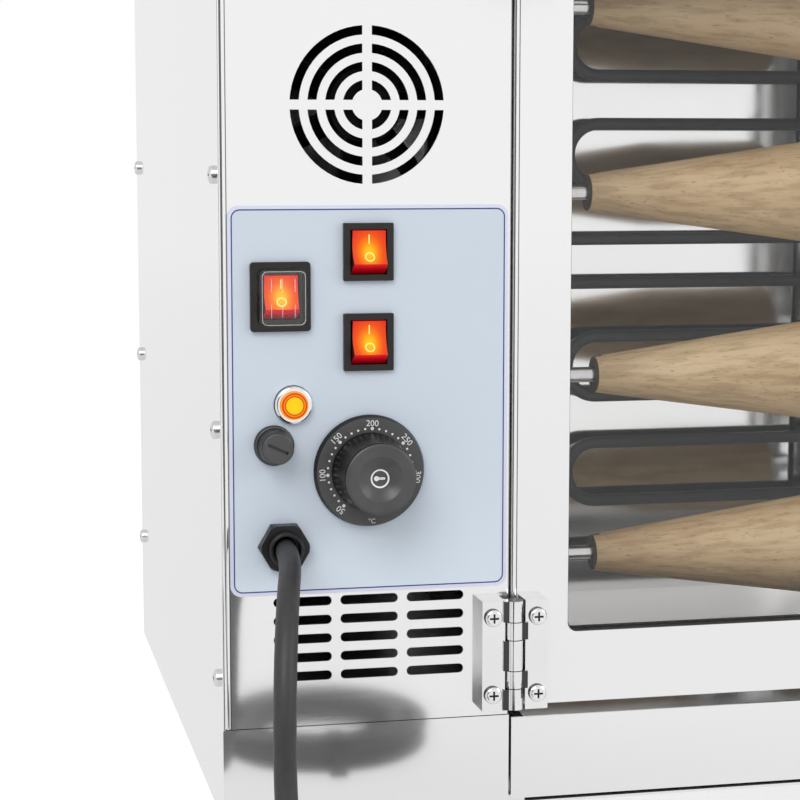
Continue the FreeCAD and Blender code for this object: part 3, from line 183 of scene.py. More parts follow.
# Cord: the same route as the part's own tube. The tail's bend is a part of the tail's length, and
# its rise a part of the plug's radius
cord_radius = 4.75
cord_route = [
    (-384.9, -170.2, 145.9), (-384.9, -197.2, 145.9), (-393.1, -236.2, 134.95),
    (-398.0, -258.2, 103.95), (-398.5, -260.2, 59.95), (-398.0, -276.0, 31.95),
    (-397.0, -300.0, 10.95), (-396.0, -330.0, 4.75), (-395.0, -362.0, 4.75),
]
coil_turns_per_layer = 2
coil_turns = 4
coil_points_per_turn = 16
coil_pitch = 10.2
coil_outer_radius = 58.4
coil_climb_turns = 0.5
coil_layer_rise = 10.0
coil_tail = 34.0
coil_tail_shift = 2.1
tail_bend = 0.6
tail_bend_rise = 0.96
cord_in_plug = 4.0
plug_radius = 18.5

# Plug: the neck's ribs, the grip's (radius, distance from the neck's start) pairs, and the pins
neck_ribs = 5
neck_rib_start = 1.6
neck_rib_pitch = 4.0
neck_rib_radius = 8.2
neck_rib_growth = 0.4
neck_rib_depth = 1.1
grip_profile = [(11.0, 22.2), (14.6, 23.4), (17.2, 26.4), (18.4, 31.0), (18.0, 36.0), (17.2, 41.0),
                (17.6, 47.0), (18.4, 52.0), (18.4, 54.4), (17.4, 55.8), (16.0, 56.0), (0, 56.0)]
pin_side = 9.5
pin_start = 55.5
pin_sleeve = [(0, 0), (2.4, 0), (2.4, 10.0)]
pin_tip = [(2.4, 10.0), (2.4, 18.4), (1.8, 19.3), (0, 19.5)]

# Coil tie: room beside and above the strands, and the side room, bottom, top room and corner
# radius of its outer and inner outlines
tie_half_width = 4.0
tie_side_room = 0.9
tie_top_room = 0.8
tie_outlines = ((0.5, 0.05, 0.9, 5.2), (0.0, 0.4, 0.4, 4.8))

# The rollers' small ends, darker inside this radius and depth
roller_end_radius = 8.4
roller_slot_depth = 12.0

# Where imported pieces get a second material, some of it painted shade or glow: slants are parts of a face's
# normal, the area is in square metres and the chute's top in metres
end_slant = 0.95
knob_side_slant = 0.6
hinge_side_slant = 0.35
cross_recess_area = 1.2e-6
recess_floor_slant = 0.9
screw_recess_depths = (0.7, 2.2)
chute_slant = 0.2
chute_top = 0.1


def mm(x, y, z):
    """A point given in millimetres."""
    return Vector((x, y, z)) * MM


def centre_of(node):
    """The middle of a node's box, in millimetres."""
    low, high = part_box(node)
    return (low + high) / 2 / MM


def low_of(node):
    """The lowest corner of a node's box, in millimetres."""
    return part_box(node)[0] / MM


def high_of(node):
    """The highest corner of a node's box, in millimetres."""
    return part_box(node)[1] / MM


# Materials
def new_material(name):
    """An empty material with its output and shader."""
    material = bpy.data.materials.new(name)
    material.use_nodes = True
    tree = material.node_tree
    return material, tree.nodes, tree.links, tree.nodes["Principled BSDF"]


def feed(node, links, values):
    """Gives a node's inputs their values, which are sockets to link or plain values."""
    for socket, value in zip(node.inputs, values):
        if isinstance(value, bpy.types.NodeSocket):
            links.new(value, socket)
        else:
            socket.default_value = value


def number(shader_nodes, links, operation, *values):
    """The result of a sum on numbers."""
    node = shader_nodes.new("ShaderNodeMath")
    node.operation = operation
    feed(node, links, values)
    return node.outputs["Value"]


def vector(shader_nodes, links, operation, *values, output="Vector"):
    """The result of a sum on vectors."""
    node = shader_nodes.new("ShaderNodeVectorMath")
    node.operation = operation
    feed(node, links, values)
    return node.outputs[output]


def multiply_colours(shader_nodes, links, first, second, share):
    """One colour times another, for a share from 0 to 1."""
    node = shader_nodes.new("ShaderNodeMix")
    node.data_type = "RGBA"
    node.blend_type = "MULTIPLY"
    node.inputs["Factor"].default_value = share
    links.new(first, node.inputs["A"])
    links.new(second, node.inputs["B"])
    return node.outputs["Result"]


def noise(shader_nodes, links, scale, stretch=(1, 1, 1), detail=4.0):
    """Noise in the object's own space, stretched along the axes."""
    place = shader_nodes.new("ShaderNodeTexCoord")
    mapping = shader_nodes.new("ShaderNodeMapping")
    mapping.inputs["Scale"].default_value = stretch
    links.new(place.outputs["Object"], mapping.inputs["Vector"])
    texture = shader_nodes.new("ShaderNodeTexNoise")
    texture.inputs["Scale"].default_value = scale
    texture.inputs["Detail"].default_value = detail
    links.new(mapping.outputs["Vector"], texture.inputs["Vector"])
    return texture.outputs["Fac"]


def ramp(shader_nodes, links, value, stops):
    """A colour ramp over a value."""
    node = shader_nodes.new("ShaderNodeValToRGB")
    elements = node.color_ramp.elements
    while len(elements) < len(stops):
        elements.new(0.5)
    for element, (place, colour) in zip(elements, stops):
        element.position = place
        element.color = (*colour, 1)
    links.new(value, node.inputs["Fac"])
    return node.outputs["Color"]


def to_range(shader_nodes, links, value, low, high, from_low=0.3, from_high=0.7):
    """A value mapped from the usual span of noise to another span."""
    node = shader_nodes.new("ShaderNodeMapRange")
    node.inputs["From Min"].default_value = from_low
    node.inputs["From Max"].default_value = from_high
    node.inputs["To Min"].default_value = low
    node.inputs["To Max"].default_value = high
    links.new(value, node.inputs["Value"])
    return node.outputs["Result"]


def add_relief(shader_nodes, links, shader, value, strength, depth):
    """Bumps from a value, with a depth in millimetres."""
    bump = shader_nodes.new("ShaderNodeBump")
    bump.inputs["Strength"].default_value = strength
    bump.inputs["Distance"].default_value = depth * MM
    links.new(value, bump.inputs["Height"])
    links.new(bump.outputs["Normal"], shader.inputs["Normal"])


def surface(name, colour, roughness, metallic=0.0, mottle=0.04, mottle_scale=30.0,
            stretch=(1, 1, 1), uneven=0.04, relief=0.0, relief_scale=900.0, **sockets):
    """A material whose colour, gloss and relief vary slightly from place to place."""
    material, shader_nodes, links, shader = new_material(name)
    shader.inputs["Metallic"].default_value = metallic
    for socket, value in sockets.items():
        shader.inputs[socket.replace("_", " ")].default_value = value
    value = noise(shader_nodes, links, mottle_scale, stretch)
    dark = [c * (1 - mottle) for c in colour]
    pale = [min(1.0, c * (1 + mottle)) for c in colour]
    links.new(ramp(shader_nodes, links, value, [(0.3, dark), (0.7, pale)]), shader.inputs["Base Color"])
    gloss = noise(shader_nodes, links, mottle_scale * 2.3, stretch)
    links.new(to_range(shader_nodes, links, gloss, max(0.0, roughness - uneven), roughness + uneven),
              shader.inputs["Roughness"])
    if relief:
        grain = noise(shader_nodes, links, relief_scale, detail=3.0)
        add_relief(shader_nodes, links, shader, grain, relief, 0.05)
    return material


def srgb(red, green, blue):
    """A linear colour from three 0 to 255 values."""
    return tuple((v / 255 / 12.92) if v / 255 <= 0.04045 else ((v / 255 + 0.055) / 1.055) ** 2.4
                 for v in (red, green, blue))


def tones(*stops):
    """The stops of a ramp, from places and 0 to 255 colours."""
    return [(place, srgb(*colour)) for place, colour in stops]


def grey(value):
    """A neutral linear colour."""
    return (value, value, value)


def make_beech():
    """Bare turned beech: tan, with fine grain along the roller and short dark flecks."""
    material, shader_nodes, links, shader = new_material("beech")
    broad = noise(shader_nodes, links, 14.0, (0.5, 3.0, 3.0), 5.0)
    base = ramp(shader_nodes, links, broad,
                tones((0.3, (180, 151, 113)), (0.5, (198, 171, 133)), (0.72, (210, 186, 149))))
    lines = noise(shader_nodes, links, 60.0, (0.35, 6.0, 6.0), 6.0)
    line_tint = ramp(shader_nodes, links, lines, [(0.38, (0.78, 0.74, 0.68)), (0.55, (1, 1, 1))])
    flecks = noise(shader_nodes, links, 260.0, (0.8, 5.0, 5.0), 1.0)
    fleck_tint = ramp(shader_nodes, links, flecks, [(0.28, (0.6, 0.52, 0.44)), (0.36, (1, 1, 1))])
    grained = multiply_colours(shader_nodes, links, base, line_tint, 1.0)
    flecked = multiply_colours(shader_nodes, links, grained, fleck_tint, 0.8)
    links.new(flecked, shader.inputs["Base Color"])
    links.new(to_range(shader_nodes, links, lines, 0.5, 0.66), shader.inputs["Roughness"])
    add_relief(shader_nodes, links, shader, lines, 0.5, 0.12)
    return material


def make_label_film():
    """Pale blue printed film, painted a little paler towards its lower edge to cancel the lamps' fall-off there.
    """
    material, shader_nodes, links, shader = new_material("label_film")
    place = shader_nodes.new("ShaderNodeTexCoord")
    parts = shader_nodes.new("ShaderNodeSeparateXYZ")
    links.new(place.outputs["Generated"], parts.inputs["Vector"])
    # Painted light: the ramp makes the film paler towards its bottom, where the lamps light it less.
    base = ramp(shader_nodes, links, parts.outputs["Z"],
                tones((0.0, (214, 225, 236)), (0.25, (206, 217, 229)), (0.5, (203, 214, 226)),
                      (1.0, (201, 211, 222))))
    links.new(base, shader.inputs["Base Color"])
    gloss = noise(shader_nodes, links, 20.0)
    links.new(to_range(shader_nodes, links, gloss, 0.38, 0.46), shader.inputs["Roughness"])
    add_relief(shader_nodes, links, shader, noise(shader_nodes, links, 900.0), 0.05, 0.05)
    return material


def distance_from(shader_nodes, links, centre, stretch=(1, 1, 1)):
    """Distance in metres from a point, in the object's own space."""
    place = shader_nodes.new("ShaderNodeTexCoord")
    shift = vector(shader_nodes, links, "SUBTRACT", place.outputs["Object"], centre)
    scaled = vector(shader_nodes, links, "MULTIPLY", shift, stretch)
    return vector(shader_nodes, links, "LENGTH", scaled, output="Value")


def make_glow(name, centre, reach, stops, strength, colour, roughness=0.2, stretch=(1, 1, 1)):
    """Lit plastic: its own light fades from the lamp behind it to the rim."""
    material, shader_nodes, links, shader = new_material(name)
    shader.inputs["Roughness"].default_value = roughness
    shader.inputs["Specular IOR Level"].default_value = 0.2
    shader.inputs["Base Color"].default_value = (*colour, 1)
    shader.inputs["Emission Strength"].default_value = strength
    value = distance_from(shader_nodes, links, centre, stretch)
    share = to_range(shader_nodes, links, value, 0.0, 1.0, 0.0, reach * MM)
    links.new(ramp(shader_nodes, links, share, stops), shader.inputs["Emission Color"])
    return material


def make_pane(name, colour, alpha, roughness=0.02):
    """Thin clear glass or plastic: most light goes straight through, and the rest is reflected."""
    material, shader_nodes, links, shader = new_material(name)
    shader.inputs["Base Color"].default_value = (*colour, 1)
    shader.inputs["Metallic"].default_value = 1.0
    shader.inputs["Roughness"].default_value = roughness
    shader.inputs["Alpha"].default_value = alpha
    return material


finishes = {
    "cabinet_steel": dict(colour=grey(0.87), roughness=0.09, metallic=0.9, mottle=0.004,
                          mottle_scale=12.0, stretch=(1, 1, 60), uneven=0.01),
    "liner_steel": dict(colour=grey(0.84), roughness=0.09, metallic=1.0, mottle=0.01,
                        mottle_scale=6.0, stretch=(1, 1, 4), uneven=0.02),
    "hinge_steel": dict(colour=grey(0.84), roughness=0.1, metallic=1.0, mottle=0.02, mottle_scale=60.0),
    "hinge_shade": dict(colour=grey(0.88), roughness=0.2, metallic=1.0, mottle=0.02, mottle_scale=60.0),
    # Painted shade for the screws' cross recesses and for the seams beside the hems.
    "recess_painted_shade": dict(colour=grey(0.06), roughness=0.4, metallic=0.8, mottle=0.05, mottle_scale=60.0),
    # Painted light: the chute glows to stand in for light falling on the chamber floor through the window.
    "chute_steel_painted_glow": dict(colour=grey(0.9), roughness=0.35, metallic=0.1, mottle=0.01, mottle_scale=20.0,
                        Emission_Color=(1, 1, 1, 1), Emission_Strength=0.22),
    "handle_steel": dict(colour=grey(0.78), roughness=0.22, metallic=1.0, mottle=0.03,
                         mottle_scale=40.0, stretch=(8, 8, 1)),
    "screw_steel": dict(colour=grey(0.75), roughness=0.16, metallic=1.0, mottle_scale=200.0),
    "shaft_steel": dict(colour=(0.62, 0.62, 0.63), roughness=0.2, metallic=1.0, mottle_scale=90.0,
                        stretch=(12, 1, 1)),
    "chain_steel": dict(colour=(0.22, 0.21, 0.2), roughness=0.38, metallic=1.0, mottle=0.2,
                        mottle_scale=150.0),
    "lamp_chrome": dict(colour=grey(0.86), roughness=0.06, metallic=1.0, mottle=0.02, mottle_scale=60.0),
    "bearing_bronze": dict(colour=(0.62, 0.42, 0.2), roughness=0.34, metallic=1.0, mottle=0.08,
                           mottle_scale=300.0, relief=0.2),
    "element_sheath": dict(colour=(0.07, 0.072, 0.076), roughness=0.5, metallic=0.3, mottle=0.12,
                           mottle_scale=40.0, relief=0.05),
    "motor_enamel": dict(colour=(0.045, 0.052, 0.06), roughness=0.42, mottle=0.1, mottle_scale=60.0,
                         relief=0.15),
    "rubber": dict(colour=grey(0.018), roughness=0.62, mottle=0.2, mottle_scale=120.0, relief=0.3),
    "label_margin": dict(colour=srgb(214, 218, 236), roughness=0.42, mottle=0.01, mottle_scale=8.0),
    "label_line": dict(colour=srgb(48, 56, 128), roughness=0.45, mottle=0.05, mottle_scale=60.0),
    "print_white": dict(colour=(0.8, 0.8, 0.78), roughness=0.5, mottle=0.02, mottle_scale=200.0),
    "switch_black": dict(colour=(0.016, 0.015, 0.014), roughness=0.38, mottle=0.1, mottle_scale=90.0,
                         relief=0.12, Specular_IOR_Level=0.35),
    "bakelite_black": dict(colour=(0.062, 0.062, 0.063), roughness=0.34, mottle=0.12,
                           mottle_scale=80.0, relief=0.08),
    # Painted shade: a darker copy of the knob plastic for the sides of the knob and the reset cap, where shade
    # falls.
    "bakelite_side_painted_shade": dict(colour=grey(0.005), roughness=0.3, mottle=0.1, mottle_scale=80.0,
                          Specular_IOR_Level=0.15),
    "gland_black": dict(colour=(0.012, 0.012, 0.013), roughness=0.36, mottle=0.12, mottle_scale=80.0,
                        relief=0.1, Specular_IOR_Level=0.3),
    "cord_black": dict(colour=(0.03, 0.03, 0.031), roughness=0.5, mottle=0.12, mottle_scale=200.0,
                       relief=0.2, relief_scale=1500.0),
    "fan_black": dict(colour=grey(0.004), roughness=0.6, mottle=0.1, mottle_scale=80.0,
                      Specular_IOR_Level=0.1),
    # A darker tone for the rollers' small ends and the slots across them.
    "roller_end_darker": dict(colour=srgb(88, 80, 70), roughness=0.8, mottle=0.15, mottle_scale=200.0),
    "sign_glow": dict(colour=(0.4, 0.3, 0.1), roughness=0.4, Emission_Color=(1.0, 0.76, 0.19, 1),
                      Emission_Strength=0.85),
    "rocker_side": dict(colour=(0.06, 0.004, 0.004), roughness=0.35, Specular_IOR_Level=0.25),
}
surfaces = {name: surface(name, **finish) for name, finish in finishes.items()}
surfaces["label_film"] = make_label_film()
surfaces["beech"] = make_beech()
surfaces["window_glass"] = make_pane("window_glass", (0.93, 0.96, 0.95), 0.02)
surfaces["clear_cover"] = make_pane("clear_cover", (0.95, 0.95, 0.96), 0.03, 0.12)
# A shinier clear material for the cover's ribs and edge, which stand in for glints.
surfaces["cover_glint_edge"] = make_pane("cover_glint_edge", (0.95, 0.95, 0.96), 0.4, 0.1)
lens_centre = centre_of("lamp_lens")
# The lens glows as the pilot lamp does; the paler band at its rim is a painted highlight.
surfaces["lamp_amber"] = make_glow(
    "lamp_amber", mm(lens_centre.x, low_of("lamp_lens").y, lens_centre.z), 6.3,
    tones((0.0, (252, 218, 20)), (0.58, (250, 205, 10)), (0.62, (200, 50, 0)), (0.66, (200, 50, 0)),
          (0.69, (250, 140, 10)), (0.77, (250, 130, 10)), (0.8, (190, 40, 0)), (0.83, (190, 40, 0)),
          (0.87, (236, 90, 10)), (0.94, (250, 178, 40)), (1.0, (240, 130, 30))),
    0.95, (0.08, 0.02, 0.0))


# Mesh helpers
def finish_mesh(name, bm, materials, body):
    """A piece from a bmesh in millimetres, smooth except at sharp edges, riding on a body."""
    bmesh.ops.scale(bm, vec=(MM, MM, MM), verts=bm.verts)
    bmesh.ops.recalc_face_normals(bm, faces=bm.faces)
    mesh = bpy.data.meshes.new(name)
    bm.to_mesh(mesh)
    bm.free()
    for polygon in mesh.polygons:
        polygon.use_smooth = True
    mesh.set_sharp_from_angle(angle=math.radians(sharp_angle))
    for material in materials:
        mesh.materials.append(surfaces[material])
    piece = bpy.data.objects.new(name, mesh)
    bpy.context.scene.collection.objects.link(piece)
    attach(piece, body)
    return piece


def join(bm, a, b, slot=0):
    """The walls between two rings with the same count of points."""
    walls = []
    for i in range(len(a)):
        j = (i + 1) % len(a)
        wall = bm.faces.new((a[i], a[j], b[j], b[i]))
        wall.material_index = slot
        walls.append(wall)
    return walls


def join_round(bm, rings, slot=0):
    """The walls from each ring to the next, and from the last back to the first."""
    for a, b in zip(rings, rings[1:] + rings[:1]):
        join(bm, a, b, slot)


def lathe(bm, profile, origin, axis, steps=96, slot=0):
    """Turns a profile of (radius, height) pairs round an axis."""
    side = axis.orthogonal().normalized()
    other = axis.cross(side)
    rings = []
    for radius, height in profile:
        middle = Vector(origin) + axis * height
        if radius < 1e-6:
            rings.append([bm.verts.new(middle)])
            continue
        ring = []
        for i in range(steps):
            angle = 2 * math.pi * i / steps
            ring.append(bm.verts.new(middle + (side * math.cos(angle) + other * math.sin(angle)) * radius))
        rings.append(ring)
    for a, b in zip(rings, rings[1:]):
        if len(a) == len(b) == steps:
            join(bm, a, b, slot)
        elif len(a) != len(b):
            rim, tip = (a, b[0]) if len(b) == 1 else (b[::-1], a[0])
            for i in range(steps):
                bm.faces.new((rim[i], rim[(i + 1) % steps], tip)).material_index = slot


def corner_outline(x0, x1, z0, z1, radius, steps=10):
    """The outline of a rectangle with round corners, as (x, z) pairs."""
    points = []
    corners = ((x1 - radius, z1 - radius, 0), (x0 + radius, z1 - radius, 90),
               (x0 + radius, z0 + radius, 180), (x1 - radius, z0 + radius, 270))
    for x, z, start in corners:
        for i in range(steps + 1):
            angle = math.radians(start + 90 * i / steps)
            points.append((x + radius * math.cos(angle), z + radius * math.sin(angle)))
    return points


def circle(across, up, radius, steps):
    """The outline of a circle, as (x, z) pairs."""
    turns = [2 * math.pi * i / steps for i in range(steps)]
    return [(across + radius * math.cos(turn), up + radius * math.sin(turn)) for turn in turns]


def band(bm, outer, inner, y_front, y_back, slot=0):
    """A closed band between two outlines with the same count of points."""
    loops = []
    for outline, y in ((outer, y_front), (inner, y_front), (inner, y_back), (outer, y_back)):
        loops.append([bm.verts.new((x, y, z)) for x, z in outline])
    join_round(bm, loops, slot)


def strip(bm, box, corner, inset, core_corner, y_front, y_back, steps=2, slot=0):
    """A flat strip with round corners over a box (x0, x1, z0, z1), up to a thin slit inside it."""
    x0, x1, z0, z1 = box
    inset_x, inset_z = inset
    outline = corner_outline(x0, x1, z0, z1, corner, steps)
    slit = corner_outline(x0 + inset_x, x1 - inset_x, z0 + inset_z, z1 - inset_z, core_corner, steps)
    band(bm, outline, slit, y_front, y_back, slot)


def spot(bm, across, up, radius, steps=16):
    """A flat printed dot."""
    outer = circle(across, up, radius, steps)
    inner = [(across + (a - across) * 0.1, up + (b - up) * 0.1) for a, b in outer]
    band(bm, outer, inner, -print_height, 0.0)


def round_edges(piece, width):
    """Rounds a piece's edges."""
    modifier = piece.modifiers.new("round", "BEVEL")
    modifier.width = width * MM
    modifier.segments = bevel_segments
    modifier.limit_method = "ANGLE"
    modifier.angle_limit = math.radians(bevel_angle)
    modifier.harden_normals = True


def letters(bm, text, height, place, right, up):
    """Slightly raised letters centred on a place."""
    curve = bpy.data.curves.new("letters", "FONT")
    curve.body = text
    curve.align_x = "CENTER"
    curve.align_y = "CENTER"
    curve.size = height / capital_share
    curve.extrude = print_height / 2
    holder = bpy.data.objects.new("letters", curve)
    mesh = bpy.data.meshes.new_from_object(holder)
    matrix = Matrix((right, up, right.cross(up))).transposed().to_4x4()
    matrix.translation = Vector(place)
    mesh.transform(matrix)
    bm.from_mesh(mesh)
    bpy.data.objects.remove(holder)
    bpy.data.curves.remove(curve)
    bpy.data.meshes.remove(mesh)


# Camera, backdrop and lamps
def make_camera():
    """The camera, close to the front left corner."""
    data = bpy.data.cameras.new("camera")
    camera = bpy.data.objects.new("camera", data)
    bpy.context.scene.collection.objects.link(camera)
    yaw, pitch = math.radians(camera_yaw), math.radians(camera_pitch)
    ahead = Vector((math.sin(yaw) * math.cos(pitch), math.cos(yaw) * math.cos(pitch), -math.sin(pitch)))
    camera.location = mm(*camera_target) - ahead * camera_distance * MM
    camera.rotation_mode = "QUATERNION"
    camera.rotation_quaternion = ahead.to_track_quat("-Z", "Y")
    data.lens = camera_lens
    data.sensor_width = camera_sensor
    data.clip_start, data.clip_end = camera_clip
    bpy.context.scene.camera = camera


def seen_by_camera(shader_nodes, links):
    """1 for rays that reach the eye directly, in a reflection or through glass."""
    path = shader_nodes.new("ShaderNodeLightPath")
    seen = path.outputs["Is Camera Ray"]
    for kind in ("Is Glossy Ray", "Is Transmission Ray"):
        seen = number(shader_nodes, links, "MAXIMUM", seen, path.outputs[kind])
    return seen


def room_light(shader_nodes, links, towards):
    """What is left of the light from a direction, in reflections, after the room's darker sides."""
    path = shader_nodes.new("ShaderNodeLightPath")
    loss = 0.0
    for direction, spread, edge, share in room_dark_sides:
        facing = vector(shader_nodes, links, "DOT_PRODUCT", towards, Vector(direction).normalized(),
                        output="Value")
        outer, inner = (math.cos(math.radians(angle)) for angle in (spread + edge, spread - edge))
        patch = to_range(shader_nodes, links, facing, 0.0, share, outer, inner)
        loss = number(shader_nodes, links, "MULTIPLY_ADD", patch, path.outputs["Is Glossy Ray"], loss)
    return number(shader_nodes, links, "SUBTRACT", 1.0, loss)


def make_world():
    """A white backdrop for the eye and a softer fill for matt surfaces; reflections also show the
    room's darker sides."""
    world = bpy.data.worlds.new("world")
    bpy.context.scene.world = world
    world.use_nodes = True
    tree = world.node_tree
    background = tree.nodes["Background"]
    background.inputs["Color"].default_value = (1, 1, 1, 1)
    seen = seen_by_camera(tree.nodes, tree.links)
    strength = to_range(tree.nodes, tree.links, seen, room_fill, 1.0, 0.0, 1.0)
    place = tree.nodes.new("ShaderNodeTexCoord")
    light = room_light(tree.nodes, tree.links, place.outputs["Generated"])
    both = number(tree.nodes, tree.links, "MULTIPLY", strength, light)
    tree.links.new(both, background.inputs["Strength"])


def make_floor():
    """A wide pale floor that keeps the object's shadow, and is an even glow in reflections."""
    material, shader_nodes, links, shader = new_material("floor")
    shader.inputs["Roughness"].default_value = 0.9
    shader.inputs["Specular IOR Level"].default_value = 0.0
    shader.inputs["Emission Color"].default_value = (1, 1, 1, 1)
    path = shader_nodes.new("ShaderNodeLightPath")
    in_mirror = path.outputs["Is Glossy Ray"]
    base = number(shader_nodes, links, "MULTIPLY_ADD", in_mirror, -floor_tone, floor_tone)
    links.new(base, shader.inputs["Base Color"])
    place = shader_nodes.new("ShaderNodeTexCoord")
    corner = mm(cad_low.x, cad_low.y, 0)
    away = vector(shader_nodes, links, "SUBTRACT", place.outputs["Object"], corner)
    towards = vector(shader_nodes, links, "NORMALIZE", away)
    distance = vector(shader_nodes, links, "LENGTH", away, output="Value")
    even = to_range(shader_nodes, links, distance, *mirrored_glows, *mirrored_distances)
    seen = number(shader_nodes, links, "MULTIPLY", even, room_light(shader_nodes, links, towards))
    mirrored = number(shader_nodes, links, "MULTIPLY", seen, in_mirror)
    glow = number(shader_nodes, links, "MULTIPLY_ADD", path.outputs["Is Camera Ray"], floor_glow, mirrored)
    links.new(glow, shader.inputs["Emission Strength"])
    reach = floor_reach * MM
    corners = [(-reach, -reach, 0), (reach, -reach, 0), (reach, reach, 0), (-reach, reach, 0)]
    mesh = bpy.data.meshes.new("floor")
    mesh.from_pydata(corners, [], [(0, 1, 2, 3)])
    mesh.materials.append(material)
    floor = bpy.data.objects.new("floor", mesh)
    bpy.context.scene.collection.objects.link(floor)


def make_lamp(name, place, target, size, power):
    """A soft square lamp that points at a target."""
    data = bpy.data.lights.new(name, "AREA")
    data.size = size
    data.energy = power
    lamp = bpy.data.objects.new(name, data)
    bpy.context.scene.collection.objects.link(lamp)
    lamp.location = place
    lamp.rotation_mode = "QUATERNION"
    lamp.rotation_quaternion = (Vector(target) - Vector(place)).to_track_quat("-Z", "Y")


make_camera()
make_world()
make_floor()
for lamp in lamps:
    make_lamp(*lamp)


# Power cord
def coil_point(turn):
    """A point of the coil after so many turns: in, up one layer, and out again. The smooth curve
    passes inside its points, so they lie a little outside the strand's middle."""
    inwards = min(turn, 2 * coil_turns_per_layer - turn)
    half_step = math.pi / coil_points_per_turn
    outside = 2 / (math.cos(half_step) + 0.75 + 0.25 * math.cos(2 * half_step))
    radius = (coil_outer_radius - coil_pitch * inwards) * outside
    climb = (turn - coil_turns_per_layer) / coil_climb_turns + 0.5
    rise = coil_layer_rise * (1 - math.cos(math.pi * min(max(climb, 0.0), 1.0))) / 2
    end = cord_route[-1]
    angle = math.pi + 2 * math.pi * turn
    return (end[0] + coil_outer_radius + radius * math.cos(angle), end[1] + radius * math.sin(angle),
            cord_radius + rise)


def make_cord():
    """The cord from the gland to the plug, as one smooth curve with its put-away coil."""
    points = list(cord_route[:-1])
    steps = coil_turns * coil_points_per_turn
    points += [coil_point(i / coil_points_per_turn) for i in range(steps + 1)]
    end = coil_point(coil_turns)
    tail_x = end[0] - coil_tail_shift
    points.append((tail_x, end[1] - coil_tail * tail_bend, plug_radius * tail_bend_rise))
    points.append((tail_x, end[1] - coil_tail - cord_in_plug, plug_radius))
    curve = bpy.data.curves.new("cord", "CURVE")
    curve.dimensions = "3D"
    spline = curve.splines.new("NURBS")
    spline.points.add(len(points) - 1)
    for point, place in zip(spline.points, points):
        point.co = (*mm(*place), 1)
    spline.order_u = 3
    spline.use_endpoint_u = True
    spline.resolution_u = 6
    curve.bevel_depth = cord_radius * MM
    curve.bevel_resolution = 8
    curve.use_fill_caps = True
    curve.materials.append(surfaces["cord_black"])
    cord = bpy.data.objects.new("cord", curve)
    bpy.context.scene.collection.objects.link(cord)
    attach(cord, "oven")
    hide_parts("power_cord", "cord_coil")
    return cord


def make_plug():
    """A two-pin plug with a ribbed neck and a moulded grip."""
    low, high = low_of("power_plug"), high_of("power_plug")
    x = (low.x + high.x) / 2
    z = (low.z + high.z) / 2
    start = Vector((x, high.y, z))
    bm = bmesh.new()
    profile = [(0, 0), (7.4, 0), (8.0, 0.8)]
    for i in range(neck_ribs):
        base = neck_rib_start + neck_rib_pitch * i
        radius = neck_rib_radius + neck_rib_growth * i
        groove = radius - neck_rib_depth
        profile += [(radius, base), (radius, base + 2.0), (groove, base + 2.6), (groove, base + 3.6)]
    lathe(bm, profile + grip_profile, start, FORWARD, 72)
    for side in (-1, 1):
        pin = start + RIGHT * side * pin_side + FORWARD * pin_start
        lathe(bm, pin_sleeve, pin, FORWARD, 24)
        lathe(bm, pin_tip, pin, FORWARD, 24, 1)
    plug = finish_mesh("plug", bm, ["cord_black", "shaft_steel"], "oven")
    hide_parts("power_plug")
    return plug


def make_coil_tie():
    """A flat tie round the coil's strands."""
    end = cord_route[-1]
    middle_x = end[0] + coil_outer_radius
    middle_y = end[1] + coil_outer_radius - coil_pitch / 2
    side = coil_pitch / 2 + cord_radius + tie_side_room
    top = 2 * cord_radius + coil_layer_rise + tie_top_room
    near, far = middle_y - side, middle_y + side
    outer, inner = [corner_outline(near - room, far + room, bottom, top + above, corner)
                    for room, bottom, above, corner in tie_outlines]
    bm = bmesh.new()
    loops = []
    for outline, x in ((outer, -tie_half_width), (inner, -tie_half_width),
                       (inner, tie_half_width), (outer, tie_half_width)):
        loops.append([bm.verts.new((middle_x + x, y, z)) for y, z in outline])
    join_round(bm, loops)
    tie = finish_mesh("coil_tie", bm, ["rubber"], "oven")
    return tie


cord = make_cord()
plug = make_plug()
tie = make_coil_tie()


# Label printing
def make_label_print():
    """The label's pale margin and its thin border line."""
    low, high = low_of("control_label"), high_of("control_label")
    face = low.y
    edge = corner_outline(low.x, high.x, low.z, high.z, label_corner)

    def inside(inset, radius):
        """The label's outline, moved inwards."""
        return corner_outline(low.x + inset, high.x - inset, low.z + inset, high.z - inset, radius)

    line_outer = inside(border_inset - border_line / 2, border_corner)
    line_inner = inside(border_inset + border_line / 2, border_corner - border_line)
    bm = bmesh.new()
    band(bm, edge, line_outer, face - print_height, face + print_root, 0)
    band(bm, line_outer, line_inner, face - 1.5 * print_height, face + print_root, 1)
    piece = finish_mesh("label_border", bm, ["label_margin", "label_line"], "oven")


